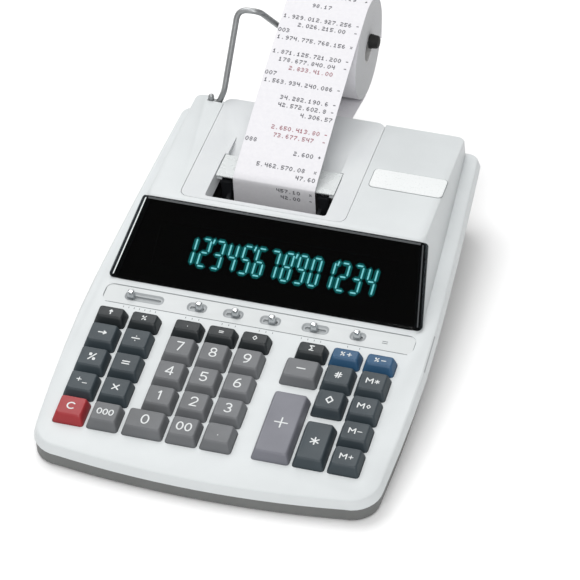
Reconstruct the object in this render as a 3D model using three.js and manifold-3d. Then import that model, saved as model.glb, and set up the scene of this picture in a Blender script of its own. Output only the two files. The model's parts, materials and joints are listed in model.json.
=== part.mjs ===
// A desk printing calculator with a paper roll on a wire arm.
// Millimetres, +Z up, the user sits at -Y. The keyboard deck leans back, so what belongs to
// it is placed in a tilted group with X across, Y up the deck and Z off the deck. Its zero is
// the middle of the deck's front edge.
import * as THREE from 'three';
import { mergeVertices } from 'three/addons/utils/BufferGeometryUtils.js';
import Module from 'manifold-3d';

const wasm = await Module();
wasm.setup();

// Gaps and cutting overrun
const gap = 0.3;
const keyClearance = 0.4;
const overrun = 1.5;

// Case, seen along the deck
const deckTilt = THREE.MathUtils.degToRad(7);
const frontHeight = 17.5;
const caseLength = 331;
const frontOverhang = 3.5;
const frontHalfWidth = 113.4;
const widestHalfWidth = 118.6;
const widestPlace = 125;
const rearHalfWidth = 106.4;
const sideTaperPower = 1.3;
const frontBow = 6.8;
const frontCorner = 20;
const rearCorner = 7;
const skirtDrop = 7.4;
const skirtFlare = 1.4;
const edgeRound = 1.6;
const wall = 2.5;
const baseStep = 0.6;
const baseRound = 0.8;
const footHeight = 1.4;
const footRadius = 6.5;
const footFrontShare = 0.09;
const footRearShare = 0.9;
const footSideShare = 0.8;
const frontDraft = 0.4;
const rearDraft = 11;

// Raised printer and display housing
const topHeight = 71;
const windowFoot = 152.5;
const windowHead = 212;
const shoulder = 9.4;
const topHalfWidth = 95.5;
const rearWallLean = 1;
const housingCorner = 5;
const housingRound = 1.2;

// Display window and tube
const windowThick = 1.6;
const bezelThick = 4.6;
const windowMargin = 2.6;
const windowSideMargin = 1.4;
const windowCorner = 7;
const tubeHalfWidth = 84;
const tubeDepth = 36;
const tubeThick = 7;
const tubeLip = 2.5;

// Switch strip and slide knobs
const stripFront = 134.2;
const stripBack = 150.8;
const stripHalfWidth = 105.7;
const stripDepth = 0.5;
const slotWidth = 2.8;
const slotPlace = 142.6;
const grooveWidth = 8;
const grooveSlope = 1.2;
const grooveCornerShare = 0.4;
const grooveDepth = 1;
const grooveStarts = [-91.5, -48.7, -23.9, 1.2, 29.6, 62];
const grooveLengths = [26.7, 13.5, 13.6, 14, 18.2, 10.8];
const knobPlaces = [-87.2, -40.5, -15.7, 9.4, 37.8, 66.9];
const knobNames = ['decimal', 'rounding', 'item_count', 'constant', 'print_mode', 'total_mode'];
const knobStem = 3.4;
const knobLength = 5.4;
const knobDepth = 5;
const knobHeight = 5.9;
const knobReach = 5;
const knobDraft = 0.6;

// Keys
const rowStart = 22.8;
const rowPitch = 22;
const columnPitch = 22.8;
const keyGap = 2.4;
const keyHeight = 7;
const keySkirt = 3.6;
const keyTravel = 3;
const keyShoulder = 0.9;
const keyFrontSlope = 3;
const keyBackSlope = 1.6;
const keySideSlope = 2;
const keyCorner = 1.6;
const keyEdge = 0.8;
const keyDish = 0.5;
const keyDishMargin = 2.6;
const stemSize = 4.4;
const wideKeyExtra = 6.3;
const plusKeyExtra = 4.1;
const topRowDepth = 13;
const plusKeyDepth = 55.5;
const starKeyDepth = 35.6;
const leftBlockEdge = -83.3;
const middleBlockEdge = -30.8;
const rightBlockEdge = 98.6;

// Printer cover, paper well and tear bar, placed from the deck's front edge along the table
const coverThick = 2.5;
const coverLeft = -74.2;
const coverRight = 39.5;
const coverFront = 209.5;
const coverCorner = 6;
const ledge = 1.4;
const wellFront = 213;
const wellBack = 281.6;
const wellLeft = -57.6;
const wellRight = 26;
const wellDrop = 9;
const wellCorner = 2;
const wellSlope = 2;
const rampFront = 257;
const rampDrop = 9.5;
const tearFront = 236.5;
const tearDepth = 24.4;
const tearThick = 1.8;
const tearStep = 0.4;
const tearSeat = 2.4;

// Paper
const paperWidth = 57;
const paperCentre = -16;
const paperThick = 0.3;
const rollRadius = 35.8;
const coreRadius = 9;
const rollBack = 377.5;
const rollHeight = 91;
const stripPlace = 240.6;
const slotDrop = 7;
const slotOpening = 5.5;
const stripHang = 16;
const webClear = 0.45;
const stripBow = 1.5;
const webEndShare = 0.06;

// Wire arm
const wireRadius = 2.05;
const wireBend = 7;
const hookBend = 3;
const pivotBack = 318;
const pivotHeight = 68.9;
const legAcross = -78.5;
const hookLength = 5.5;
const hookTip = 6.1;
const elbowBack = 348.7;
const elbowHeight = 127.4;
const elbowRun = 15.2;
const legLean = 5.3;
const kneeAcross = 3;
const kneeBack = 3;
const kneeRise = 8.6;
const elbowRise = 1.1;
const spindleLead = 7.5;
const spindleTail = 5.8;
const capRadius = 5.2;
const capLength = 7.2;
const capWall = 1.6;

// Printer mechanism
const platenRadius = 9;
const platenShaft = 3;
const bearingClear = 0.3;
const sidePlate = 2.5;
const plateClear = 1.5;
const frameFront = 233;
const frameBack = 300;
const frameFloor = -16;
const frameTop = 9;
const guardThick = 2.2;
const guardTop = 19.5;
const guardFoot = 2;
const spoolPlace = 290;
const spoolRadius = 12.6;
const spoolHeight = 6;
const spoolHub = 5;
const spoolBore = 2.3;
const spoolPin = 2;
const spoolRim = 1;
const shelfHeight = 3.4;
const shelfThick = 2;
const motorRadius = 11;
const motorLength = 27;
const motorPlace = 268;
const motorHeight = -4;
const motorShaft = 1.5;

// Keyboard circuit board and what stands on the floor of the case
const boardTop = -10;
const boardThick = 1.6;
const boardFront = 14;
const boardBack = 136;
const boardMargin = 7.9;
const boardHalfWidth = Math.min(frontHalfWidth, widestHalfWidth) - wall - boardMargin;
const chipLength = 36;
const chipWidth = 14;
const chipHeight = 2.4;
const postRadius = 3;
const transformerWidth = 46;
const transformerDepth = 42;
const transformerHeight = 34;
const transformerAcross = 72;
const transformerPlace = 268;
const glandRadius = 4.2;
const glandAcross = 74;
const glandHeight = 26;

// Counts that set how fine the curves are
const cornerSteps = 4;
const sideSteps = 9;
const frontSteps = 7;
const rollSegments = 56;
const roundSegments = 32;
const wireSides = 4;
const wireSteps = 100;
const webSteps = 8;
const bowSteps = 6;
const drapeSteps = 12;
const caseCornerSteps = 8;
const keyCornerSteps = 2;

// Finishes
const finish = (color, roughness, metalness) => () => (
  new THREE.MeshStandardMaterial({ color, roughness, metalness })
);
const paleShell = finish(0xdfe0df, 0.55, 0);
const darkShell = finish(0xb9bbbb, 0.6, 0);
const smokedPane = finish(0x050607, 0.08, 0);
const tubeGlass = finish(0x10201e, 0.15, 0);
const clearPlastic = finish(0xe6ecea, 0.25, 0);
const steelWire = finish(0x7c7e80, 0.4, 0.8);
const blackRubber = finish(0x101011, 0.85, 0);
const whitePaper = finish(0xf3f3f1, 0.9, 0);
const blackPlastic = finish(0x17191a, 0.55, 0);
const greenBoard = finish(0x2f5b3a, 0.6, 0);
const greyKnob = finish(0xaab0b2, 0.4, 0);
const keySlate = finish(0x40484d, 0.6, 0);
const keyBlack = finish(0x22272a, 0.6, 0);
const keyGrey = finish(0x6d6f71, 0.6, 0);
const keyRed = finish(0xb8322f, 0.55, 0);
const keyBlue = finish(0x2c5577, 0.55, 0);
const keyStone = finish(0x85878d, 0.6, 0);

// Where the deck's plane and the table's frame meet
const deckBasis = new THREE.Matrix4().makeRotationX(deckTilt).setPosition(0, 0, frontHeight);
const toTable = (point) => point.clone().applyMatrix4(deckBasis);
const housingHeightAt = (along) => (
  (topHeight - frontHeight - along * Math.sin(deckTilt)) / Math.cos(deckTilt)
);

// A closed solid through rings that hold the same number of points, lowest ring first
function loft(rings) {
  const count = rings[0].length;
  const flat = rings.flat();
  const positions = flat.flatMap((point) => point.toArray());
  const indices = [];
  for (let level = 0; level + 1 < rings.length; level += 1) {
    for (let i = 0; i < count; i += 1) {
      const next = (i + 1) % count;
      const low = level * count;
      const high = low + count;
      indices.push(low + i, low + next, high + next, low + i, high + next, high + i);
    }
  }
  const last = (rings.length - 1) * count;
  const outline = (ring) => ring.map((point) => new THREE.Vector2(point.x, point.y));
  for (const [a, b, c] of THREE.ShapeUtils.triangulateShape(outline(rings[0]), [])) {
    indices.push(c, b, a);
  }
  for (const [a, b, c] of THREE.ShapeUtils.triangulateShape(outline(rings.at(-1)), [])) {
    indices.push(last + a, last + b, last + c);
  }
  const geometry = new THREE.BufferGeometry();
  geometry.setAttribute('position', new THREE.Float32BufferAttribute(positions, 3));
  geometry.setIndex(indices);
  return geometry;
}

// Booleans: three.js shapes go in and come out, manifold-3d only joins and cuts
function solid(geometry) {
  const bare = geometry.clone();
  bare.deleteAttribute('normal');
  bare.deleteAttribute('uv');
  const merged = mergeVertices(bare);
  return new wasm.Manifold(new wasm.Mesh({
    numProp: 3,
    vertProperties: new Float32Array(merged.attributes.position.array),
    triVerts: new Uint32Array(merged.index.array),
  }));
}

function shape(body) {
  const mesh = body.getMesh();
  const geometry = new THREE.BufferGeometry();
  geometry.setAttribute('position', new THREE.Float32BufferAttribute(mesh.vertProperties, 3));
  geometry.setIndex(Array.from(mesh.triVerts));
  return geometry;
}

const joined = (geometries) => geometries.map(solid).reduce((sum, body) => sum.add(body));
const cut = (body, geometries) => geometries.map(solid).reduce((rest, tool) => rest.subtract(tool), body);

function named(name, geometry, material) {
  const mesh = new THREE.Mesh(geometry, material());
  mesh.name = name;
  return mesh;
}

// A block between two corners
function block(low, high) {
  const size = high.clone().sub(low);
  const middle = high.clone().add(low).multiplyScalar(0.5);
  return new THREE.BoxGeometry(size.x, size.y, size.z).translate(middle.x, middle.y, middle.z);
}

const at = (x, y, z) => new THREE.Vector3(x, y, z);

// A cylinder along X, or along Z, from a start to an end
function rodAcross(radius, start, end, along, height) {
  const bar = new THREE.CylinderGeometry(radius, radius, end - start, roundSegments);
  return bar.rotateZ(Math.PI / 2).translate((start + end) / 2, along, height);
}

function post(radius, foot, head, across, along) {
  const bar = new THREE.CylinderGeometry(radius, radius, head - foot, roundSegments / 2);
  return bar.rotateX(Math.PI / 2).translate(across, along, (foot + head) / 2);
}

// A rounded rectangle as a ring of points
function roundedRing(width, depth, corner, height, steps, middle = at(0, 0, 0)) {
  const points = [];
  const turns = [[1, -1], [1, 1], [-1, 1], [-1, -1]];
  turns.forEach(([sideX, sideY], turn) => {
    const centre = at(sideX * (width / 2 - corner), sideY * (depth / 2 - corner), height);
    for (let i = 0; i <= steps; i += 1) {
      const angle = (turn - 1 + i / steps) * (Math.PI / 2);
      points.push(at(
        middle.x + centre.x + corner * Math.cos(angle),
        middle.y + centre.y + corner * Math.sin(angle),
        height,
      ));
    }
  });
  return points;
}

// Half the width of the case at a place along the deck
function halfWidthAt(along) {
  if (along < widestPlace) {
    const back = (widestPlace - along) / widestPlace;
    return widestHalfWidth - (widestHalfWidth - frontHalfWidth) * back * back;
  }
  const run = (along - widestPlace) / (caseLength - frontOverhang - widestPlace);
  return widestHalfWidth - (widestHalfWidth - rearHalfWidth) * run ** sideTaperPower;
}

// The outline of the case, drawn in by an inset, at a height off the deck
function caseRing(inset, height) {
  const front = inset - frontOverhang + frontBow;
  const rear = caseLength - frontOverhang - inset;
  const turn = frontCorner - inset / 2;
  const frontHalf = halfWidthAt(front + turn) - inset - turn;
  const right = [];
  for (let i = 0; i < frontSteps; i += 1) {
    const across = (i / frontSteps) * frontHalf;
    right.push(at(across, front - frontBow * (1 - (across / frontHalf) ** 2), height));
  }
  for (let i = 0; i <= caseCornerSteps; i += 1) {
    const angle = (i / caseCornerSteps) * (Math.PI / 2);
    const across = frontHalf + turn * Math.sin(angle);
    right.push(at(across, front + turn * (1 - Math.cos(angle)), height));
  }
  const first = front + turn;
  const last = rear - rearCorner;
  for (let i = 1; i <= sideSteps; i += 1) {
    const along = first + (last - first) * (i / sideSteps);
    right.push(at(halfWidthAt(along) - inset, along, height));
  }
  const rearHalf = halfWidthAt(last) - inset - rearCorner;
  for (let i = 1; i <= caseCornerSteps; i += 1) {
    const angle = (i / caseCornerSteps) * (Math.PI / 2);
    right.push(at(rearHalf + rearCorner * Math.cos(angle), last + rearCorner * Math.sin(angle), height));
  }
  const left = right.slice(1).reverse().map((point) => at(-point.x, point.y, point.z));
  return [...right, ...left];
}

// The outline of the raised housing, with its half width and height given along the deck
function housingRing(front, rear, halfAt, heightAt) {
  const right = [];
  for (let i = 0; i <= cornerSteps; i += 1) {
    const angle = (i / cornerSteps) * (Math.PI / 2);
    const along = front + housingCorner * (1 - Math.cos(angle));
    right.push([halfAt(front + housingCorner) - housingCorner * (1 - Math.sin(angle)), along]);
  }
  const first = front + housingCorner;
  const last = rear - housingCorner;
  for (let i = 1; i <= sideSteps; i += 1) {
    const along = first + (last - first) * (i / sideSteps);
    right.push([halfAt(along), along]);
  }
  for (let i = 1; i <= cornerSteps; i += 1) {
    const angle = (i / cornerSteps) * (Math.PI / 2);
    const across = halfAt(last) - housingCorner * (1 - Math.cos(angle));
    right.push([across, last + housingCorner * Math.sin(angle)]);
  }
  const ring = right.map(([across, along]) => at(across, along, heightAt(along)));
  const left = ring.slice().reverse().map((point) => at(-point.x, point.y, point.z));
  return [...ring, ...left];
}

// The window's slope, and where it comes up to a level below the flat top
const slope = (windowHead - windowFoot) / housingHeightAt(windowHead);
function slopeMeets(back, below) {
  const start = windowFoot + back + slope * (housingHeightAt(0) - below);
  return start / (1 + slope * Math.tan(deckTilt));
}

// The housing as a solid, drawn in by its walls for its hollow
function housing(inset, roof, frontWall) {
  const rear = caseLength - frontOverhang - inset;
  const back = frontWall * Math.hypot(1, slope);
  const foot = housingRing(
    windowFoot + back - slope * overrun,
    rear,
    (along) => halfWidthAt(along) - skirtFlare - shoulder - inset,
    () => -overrun,
  );
  const crown = (pull, drop) => housingRing(
    slopeMeets(back, roof + drop) + pull,
    rear - rearWallLean - pull,
    () => topHalfWidth - inset - pull,
    (along) => housingHeightAt(along) - roof - drop,
  );
  return loft([
    foot,
    crown(0, housingRound),
    crown(housingRound / 3, housingRound / 3),
    crown(housingRound, 0),
  ]);
}

// The sloping face that carries the display window has a frame of its own
const faceRise = housingHeightAt(windowHead);
const faceLean = Math.atan2(faceRise, windowHead - windowFoot);
const faceLength = Math.hypot(faceRise, windowHead - windowFoot);
const faceBasis = new THREE.Matrix4().makeRotationX(faceLean).setPosition(0, windowFoot, 0);
const footHalf = halfWidthAt(windowFoot) - skirtFlare - shoulder;
const onFace = (geometry) => geometry.applyMatrix4(faceBasis);

// A pane shape on that face: wider at its foot, as the face is
function pane(grow, low, high) {
  const narrow = (footHalf - topHalfWidth) / faceLength;
  const foot = windowMargin - grow;
  const head = faceLength - windowMargin + grow;
  const halfAt = (up) => footHalf - windowSideMargin - narrow * up + grow;
  const outline = new THREE.Shape();
  outline.moveTo(-halfAt(foot) + windowCorner, foot);
  outline.lineTo(halfAt(foot) - windowCorner, foot);
  outline.quadraticCurveTo(halfAt(foot), foot, halfAt(foot + windowCorner), foot + windowCorner);
  outline.lineTo(halfAt(head), head);
  outline.lineTo(-halfAt(head), head);
  outline.lineTo(-halfAt(foot + windowCorner), foot + windowCorner);
  outline.quadraticCurveTo(-halfAt(foot), foot, -halfAt(foot) + windowCorner, foot);
  const geometry = new THREE.ExtrudeGeometry(outline, {
    depth: high - low,
    bevelEnabled: false,
    curveSegments: cornerSteps,
  });
  return geometry.translate(0, 0, low);
}

const tubeMiddle = faceLength / 2;

// Keys: three blocks of columns from the left, each column from its front row to the back.
// An empty place is covered by the taller key in front of it.
const keyBlocks = [
  [
    [['clear', keyRed], ['sign', keySlate], ['percent', keySlate], ['backspace', keySlate], ['feed', keyBlack]],
    [
      ['triple_zero', keyGrey],
      ['times', keySlate],
      ['equals', keySlate],
      ['divide', keySlate],
      ['rate', keyBlack],
    ],
  ],
  [
    [['0', keyGrey], ['1', keyGrey], ['4', keyGrey], ['7', keyGrey], ['cost', keyBlack]],
    [['double_zero', keyGrey], ['2', keyGrey], ['5', keyGrey], ['8', keyGrey], ['sell', keyBlack]],
    [['point', keyGrey], ['3', keyGrey], ['6', keyGrey], ['9', keyGrey], ['margin', keyBlack]],
  ],
  [
    [['plus', keyStone], null, null, ['minus', keyGrey], ['grand_total', keyBlack]],
    [['star', keySlate], null, ['subtotal', keySlate], ['number', keySlate], ['tax_plus', keyBlue]],
    [
      ['memory_plus', keySlate],
      ['memory_minus', keySlate],
      ['memory_subtotal', keySlate],
      ['memory_total', keySlate],
      ['tax_minus', keyBlue],
    ],
  ],
];
const lastColumn = keyBlocks.at(-1).length - 1;
const blockEdges = [leftBlockEdge, middleBlockEdge, rightBlockEdge - columnPitch * lastColumn];
const plainKeyWidth = columnPitch - keyGap;
const plainKeyDepth = rowPitch - keyGap;
const keyExtraWidth = { 0: wideKeyExtra, plus: plusKeyExtra, minus: plusKeyExtra };
const keyOwnDepth = { plus: plusKeyDepth, star: starKeyDepth };

// A key's size and its middle on the deck; a wide key grows to the left
function placedKey(name, material, edge, row, lastRow) {
  const width = plainKeyWidth + (keyExtraWidth[name] ?? 0);
  const depth = keyOwnDepth[name] ?? (row === lastRow ? topRowDepth : plainKeyDepth);
  const along = rowStart + row * rowPitch + keyGap / 2 + depth / 2;
  return { name, width, depth, across: edge - width / 2, along, material };
}

const keys = keyBlocks.flatMap((columns, block) => columns.flatMap((column, i) => (
  column.flatMap((entry, row) => {
    const edge = blockEdges[block] + columnPitch * i;
    return entry ? [placedKey(...entry, edge, row, column.length - 1)] : [];
  })
)));

function keycap(width, depth) {
  const topWidth = width - keySideSlope * 2;
  const topDepth = depth - keyFrontSlope - keyBackSlope;
  const shift = at(0, (keyFrontSlope - keyBackSlope) / 2, 0);
  const stemFoot = boardTop + keyTravel + gap;
  const ring = (x, y, corner, height, middle) => (
    roundedRing(x, y, corner, height, keyCornerSteps, middle)
  );
  return loft([
    ring(stemSize, stemSize, keyEdge, stemFoot),
    ring(stemSize, stemSize, keyEdge, -keySkirt),
    ring(width, depth, keyCorner, -keySkirt),
    ring(width, depth, keyCorner, keyShoulder),
    ring(topWidth, topDepth, keyCorner, keyHeight - keyEdge, shift),
    ring(topWidth - keyEdge * 2, topDepth - keyEdge * 2, keyEdge, keyHeight, shift),
    ring(topWidth - keyDishMargin * 2, topDepth - keyDishMargin * 2, keyEdge, keyHeight - keyDish, shift),
  ]);
}

// Slide knobs: a dished cap on a flat stem that passes through its slot
const knobs = knobNames.map((name, i) => ({ name, across: knobPlaces[i] }));

function knobShape() {
  const ring = (x, y, corner, height) => roundedRing(x, y, corner, height, keyCornerSteps);
  const stemDepth = slotWidth - keyClearance * 2;
  const floor = -stripDepth - grooveDepth;
  const top = floor + knobHeight;
  const headLength = knobLength - knobDraft * 2;
  const headDepth = knobDepth - knobDraft * 2;
  return loft([
    ring(knobStem, stemDepth, keyEdge, floor - knobReach),
    ring(knobStem, stemDepth, keyEdge, floor + gap),
    ring(knobLength, knobDepth, keyCorner, floor + gap),
    ring(headLength, headDepth, keyCorner - knobDraft, top - keyEdge),
    ring(headLength - keyEdge, headDepth - keyEdge, keyEdge / 2, top),
    ring(headLength - keyEdge * 2, headDepth - keyEdge * 2, keyEdge / 2, top - keyEdge / 2),
  ]);
}

// The cover's outline and the well in it, in the table's frame
const coverRear = toTable(at(0, caseLength - frontOverhang - rearWallLean, housingHeightAt(caseLength))).y;
const coverTop = topHeight;

function coverPlate(grow, low, high, back) {
  const width = coverRight - coverLeft + grow * 2;
  const depth = back - coverFront + grow;
  const middle = at((coverRight + coverLeft) / 2, (back + coverFront - grow) / 2, 0);
  const ring = (height) => roundedRing(width, depth, coverCorner, height, cornerSteps, middle);
  return loft([ring(low), ring(high)]);
}

// The well's opening: its side walls lean in as they go down
function well(grow, low, high, back) {
  const ring = (height) => {
    const fall = (coverTop - height) / wellDrop;
    const left = wellLeft + wellSlope * fall - grow;
    const right = wellRight - wellSlope * fall + grow;
    const front = wellFront - grow;
    const middle = at((left + right) / 2, (front + back) / 2, 0);
    return roundedRing(right - left, back - front, wellCorner + grow, height, keyCornerSteps, middle);
  };
  return loft([ring(low), ring(high)]);
}

// Behind the opening a shallow ramp rises to the top of the cover
function ramp(low, high, grow) {
  const outline = new THREE.Shape();
  const front = coverTop - rampDrop;
  outline.moveTo(rampFront - grow, front + low);
  outline.lineTo(wellBack + grow, coverTop + low);
  outline.lineTo(wellBack + grow, coverTop + high);
  outline.lineTo(rampFront - grow, coverTop + high);
  outline.closePath();
  return across(outline, wellLeft + tearSeat - grow, wellRight - tearSeat + grow);
}

function printerCover() {
  const plate = coverPlate(0, coverTop - coverThick, coverTop, coverRear);
  const skirt = well(wall / 2, coverTop - wellDrop, coverTop - coverThick / 2, rampFront + wall);
  const tray = ramp(-coverThick, -coverThick / 2, wall / 2);
  const opening = well(0, coverTop - wellDrop - overrun, coverTop + overrun, rampFront);
  const top = tearOutline(gap, overrun);
  const seat = across(top, wellLeft + gap, wellRight - gap);
  const body = cut(joined([plate, skirt, tray]), [opening, ramp(0, overrun, 0), seat]);
  const rest = coverTop - tearStep - tearThick - gap;
  const seats = [[wellLeft, wellLeft + tearSeat + wellSlope], [wellRight - tearSeat - wellSlope, wellRight]];
  const bars = seats.map(([left, right]) => block(
    at(left, tearFront + tearSeat, rest - coverThick),
    at(right, rampFront + tearSeat, rest),
  ));
  return shape(body.add(joined(bars)));
}

// The tear bar lies across the well on two seats, with a sharpened front edge
function tearOutline(grow, lift) {
  const top = coverTop - tearStep + lift;
  const low = coverTop - tearStep - tearThick - grow;
  const outline = new THREE.Shape();
  outline.moveTo(tearFront - grow, top);
  outline.lineTo(tearFront + tearThick - grow, low);
  outline.lineTo(tearFront + tearDepth + grow, low);
  outline.lineTo(tearFront + tearDepth + grow, top);
  outline.closePath();
  return outline;
}

function tearBar() {
  const pull = wellSlope * ((tearThick + tearStep) / wellDrop) + gap;
  return across(tearOutline(0, 0), wellLeft + pull, wellRight - pull);
}

// An outline drawn in the YZ plane and run across the machine
function across(outline, start, end, segments = cornerSteps) {
  const turn = new THREE.Matrix4().makeBasis(at(0, 1, 0), at(0, 0, 1), at(1, 0, 0));
  return new THREE.ExtrudeGeometry(outline, {
    depth: end - start,
    bevelEnabled: false,
    curveSegments: segments,
  }).applyMatrix4(turn.setPosition(start, 0, 0));
}

// Paper: a thin sheet along a path in the YZ plane
function sheet(points) {
  const half = paperThick / 2;
  const sides = points.map((point, i) => {
    const before = points[Math.max(i - 1, 0)];
    const after = points[Math.min(i + 1, points.length - 1)];
    const run = after.clone().sub(before).normalize();
    const normal = new THREE.Vector2(-run.y, run.x).multiplyScalar(half);
    return [point.clone().add(normal), point.clone().sub(normal)];
  });
  const outline = [...sides.map(([over]) => over), ...sides.map(([, under]) => under).reverse()];
  return across(new THREE.Shape(outline), paperLeft, paperLeft + paperWidth);
}

const paperLeft = paperCentre - paperWidth / 2;
const platenAlong = stripPlace + webClear + platenRadius;
const platenMiddle = toTable(at(0, platenAlong, 0));
const rollMiddle = new THREE.Vector2(rollBack, rollHeight);
const yz = (point) => new THREE.Vector2(point.y, point.z);
const around = (centre, radius, angle) => (
  new THREE.Vector2(centre.x + radius * Math.cos(angle), centre.y + radius * Math.sin(angle))
);

function arcPoints(centre, radius, from, to, steps) {
  return Array.from({ length: steps + 1 }, (unused, i) => (
    around(centre, radius, from + (to - from) * (i / steps))
  ));
}

// The supply web leaves the roll below, passes the rear slot and turns round the platen
function webPath() {
  const slotDoor = new THREE.Vector2(coverRear - overrun, topHeight - slotDrop);
  const reach = slotDoor.clone().sub(rollMiddle);
  const sweep = Math.acos((rollRadius + webClear) / reach.length());
  const leave = Math.atan2(reach.y, reach.x) + sweep;
  const start = around(rollMiddle, rollRadius + webClear, leave);
  const platen = yz(platenMiddle);
  const wrap = platenRadius + webClear;
  const inside = slotDoor.clone().sub(platen);
  const touch = Math.atan2(inside.y, inside.x) - Math.acos(wrap / inside.length());
  const turn = arcPoints(platen, wrap, touch, deckTilt - Math.PI + webEndShare * Math.PI, webSteps);
  return [start, slotDoor, ...turn];
}

// The printed strip climbs off the platen, bends over the tear bar and lies over the roll
function stripPath() {
  const platen = yz(platenMiddle);
  const foot = around(platen, platenRadius + webClear, deckTilt - Math.PI);
  const crease = new THREE.Vector2(tearFront - webClear - paperThick, coverTop - tearStep + webClear);
  const roll = rollRadius + webClear;
  const reach = crease.clone().sub(rollMiddle);
  const turned = Math.atan2(reach.y, reach.x) - Math.acos(roll / reach.length());
  const touch = THREE.MathUtils.euclideanModulo(turned, Math.PI * 2);
  const landing = around(rollMiddle, roll, touch);
  const run = landing.clone().sub(crease);
  const lift = new THREE.Vector2(-run.y, run.x).normalize();
  const bow = Array.from({ length: bowSteps - 1 }, (unused, i) => {
    const share = (i + 1) / bowSteps;
    const rise = stripBow * Math.sin(Math.PI * share);
    return crease.clone().addScaledVector(run, share).addScaledVector(lift, rise);
  });
  const drape = arcPoints(rollMiddle, roll, touch, 0, drapeSteps);
  const end = drape.at(-1).clone().add(new THREE.Vector2(0, -stripHang));
  const top = crease.clone().add(new THREE.Vector2(paperThick, paperThick * 3));
  return [foot, crease, top, ...bow, ...drape, end];
}

// A wire path: straight runs with round bends
function bentPath(points, radii) {
  const path = new THREE.CurvePath();
  let from = points[0];
  for (let i = 1; i + 1 < points.length; i += 1) {
    const corner = points[i];
    const radius = radii[i - 1];
    const entry = corner.clone().add(points[i - 1].clone().sub(corner).setLength(radius));
    const exit = corner.clone().add(points[i + 1].clone().sub(corner).setLength(radius));
    path.add(new THREE.LineCurve3(from, entry));
    path.add(new THREE.QuadraticBezierCurve3(entry, corner, exit));
    from = exit;
  }
  path.add(new THREE.LineCurve3(from, points.at(-1)));
  return path;
}

const spindleHeight = rollHeight + coreRadius - wireRadius - gap;
const spindleEnd = paperLeft + paperWidth + spindleTail;

function wireArm() {
  const route = bentPath([
    at(legAcross - hookLength, pivotBack, pivotHeight + hookTip),
    at(legAcross - hookLength, pivotBack, pivotHeight),
    at(legAcross, pivotBack, pivotHeight),
    at(legAcross + kneeAcross, pivotBack + kneeBack, pivotHeight + kneeRise),
    at(legAcross + legLean, elbowBack, elbowHeight),
    at(legAcross + legLean + elbowRun, elbowBack, elbowHeight + elbowRise),
    at(paperLeft - spindleLead, rollBack, spindleHeight),
    at(spindleEnd, rollBack, spindleHeight),
  ], [hookBend, hookBend, hookBend, wireBend, wireBend, hookBend]);
  const section = new THREE.Shape();
  section.absarc(0, 0, wireRadius, 0, Math.PI * 2);
  return new THREE.ExtrudeGeometry(section, {
    steps: wireSteps,
    extrudePath: route,
    curveSegments: wireSides,
  });
}

function paperRoll() {
  const half = paperWidth / 2;
  const profile = [
    new THREE.Vector2(coreRadius, -half),
    new THREE.Vector2(rollRadius, -half),
    new THREE.Vector2(rollRadius, half),
    new THREE.Vector2(coreRadius, half),
    new THREE.Vector2(coreRadius, -half),
  ];
  return new THREE.LatheGeometry(profile, rollSegments).rotateZ(Math.PI / 2);
}

function endCap() {
  const bore = wireRadius + gap;
  const profile = [
    new THREE.Vector2(bore, 0),
    new THREE.Vector2(capRadius, 0),
    new THREE.Vector2(capRadius, capLength - capWall / 2),
    new THREE.Vector2(capRadius - capWall / 2, capLength),
    new THREE.Vector2(0, capLength),
    new THREE.Vector2(0, capLength - capWall),
    new THREE.Vector2(bore, capLength - capWall),
    new THREE.Vector2(bore, 0),
  ];
  return new THREE.LatheGeometry(profile, roundSegments / 2).rotateZ(-Math.PI / 2);
}

function platen() {
  const half = paperWidth / 2 + gap;
  const shaftHalf = half + plateClear + sidePlate + gap * 2;
  const profile = [
    new THREE.Vector2(0, -shaftHalf),
    new THREE.Vector2(platenShaft, -shaftHalf),
    new THREE.Vector2(platenShaft, -half),
    new THREE.Vector2(platenRadius, -half),
    new THREE.Vector2(platenRadius, half),
    new THREE.Vector2(platenShaft, half),
    new THREE.Vector2(platenShaft, shaftHalf),
    new THREE.Vector2(0, shaftHalf),
  ];
  return new THREE.LatheGeometry(profile, roundSegments).rotateZ(Math.PI / 2);
}

function ribbonSpool() {
  const profile = [
    new THREE.Vector2(spoolBore, 0),
    new THREE.Vector2(spoolRadius, 0),
    new THREE.Vector2(spoolRadius, spoolRim),
    new THREE.Vector2(spoolRadius - spoolRim * 2, spoolRim),
    new THREE.Vector2(spoolRadius - spoolRim * 2, spoolHeight - spoolRim),
    new THREE.Vector2(spoolHub, spoolHeight - spoolRim),
    new THREE.Vector2(spoolHub, spoolHeight),
    new THREE.Vector2(spoolBore, spoolHeight),
    new THREE.Vector2(spoolBore, 0),
  ];
  return new THREE.LatheGeometry(profile, roundSegments * 3 / 4).rotateX(Math.PI / 2);
}

const spoolAcross = [
  paperLeft - plateClear - spoolRadius,
  paperLeft + paperWidth + plateClear + spoolRadius,
];

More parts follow.
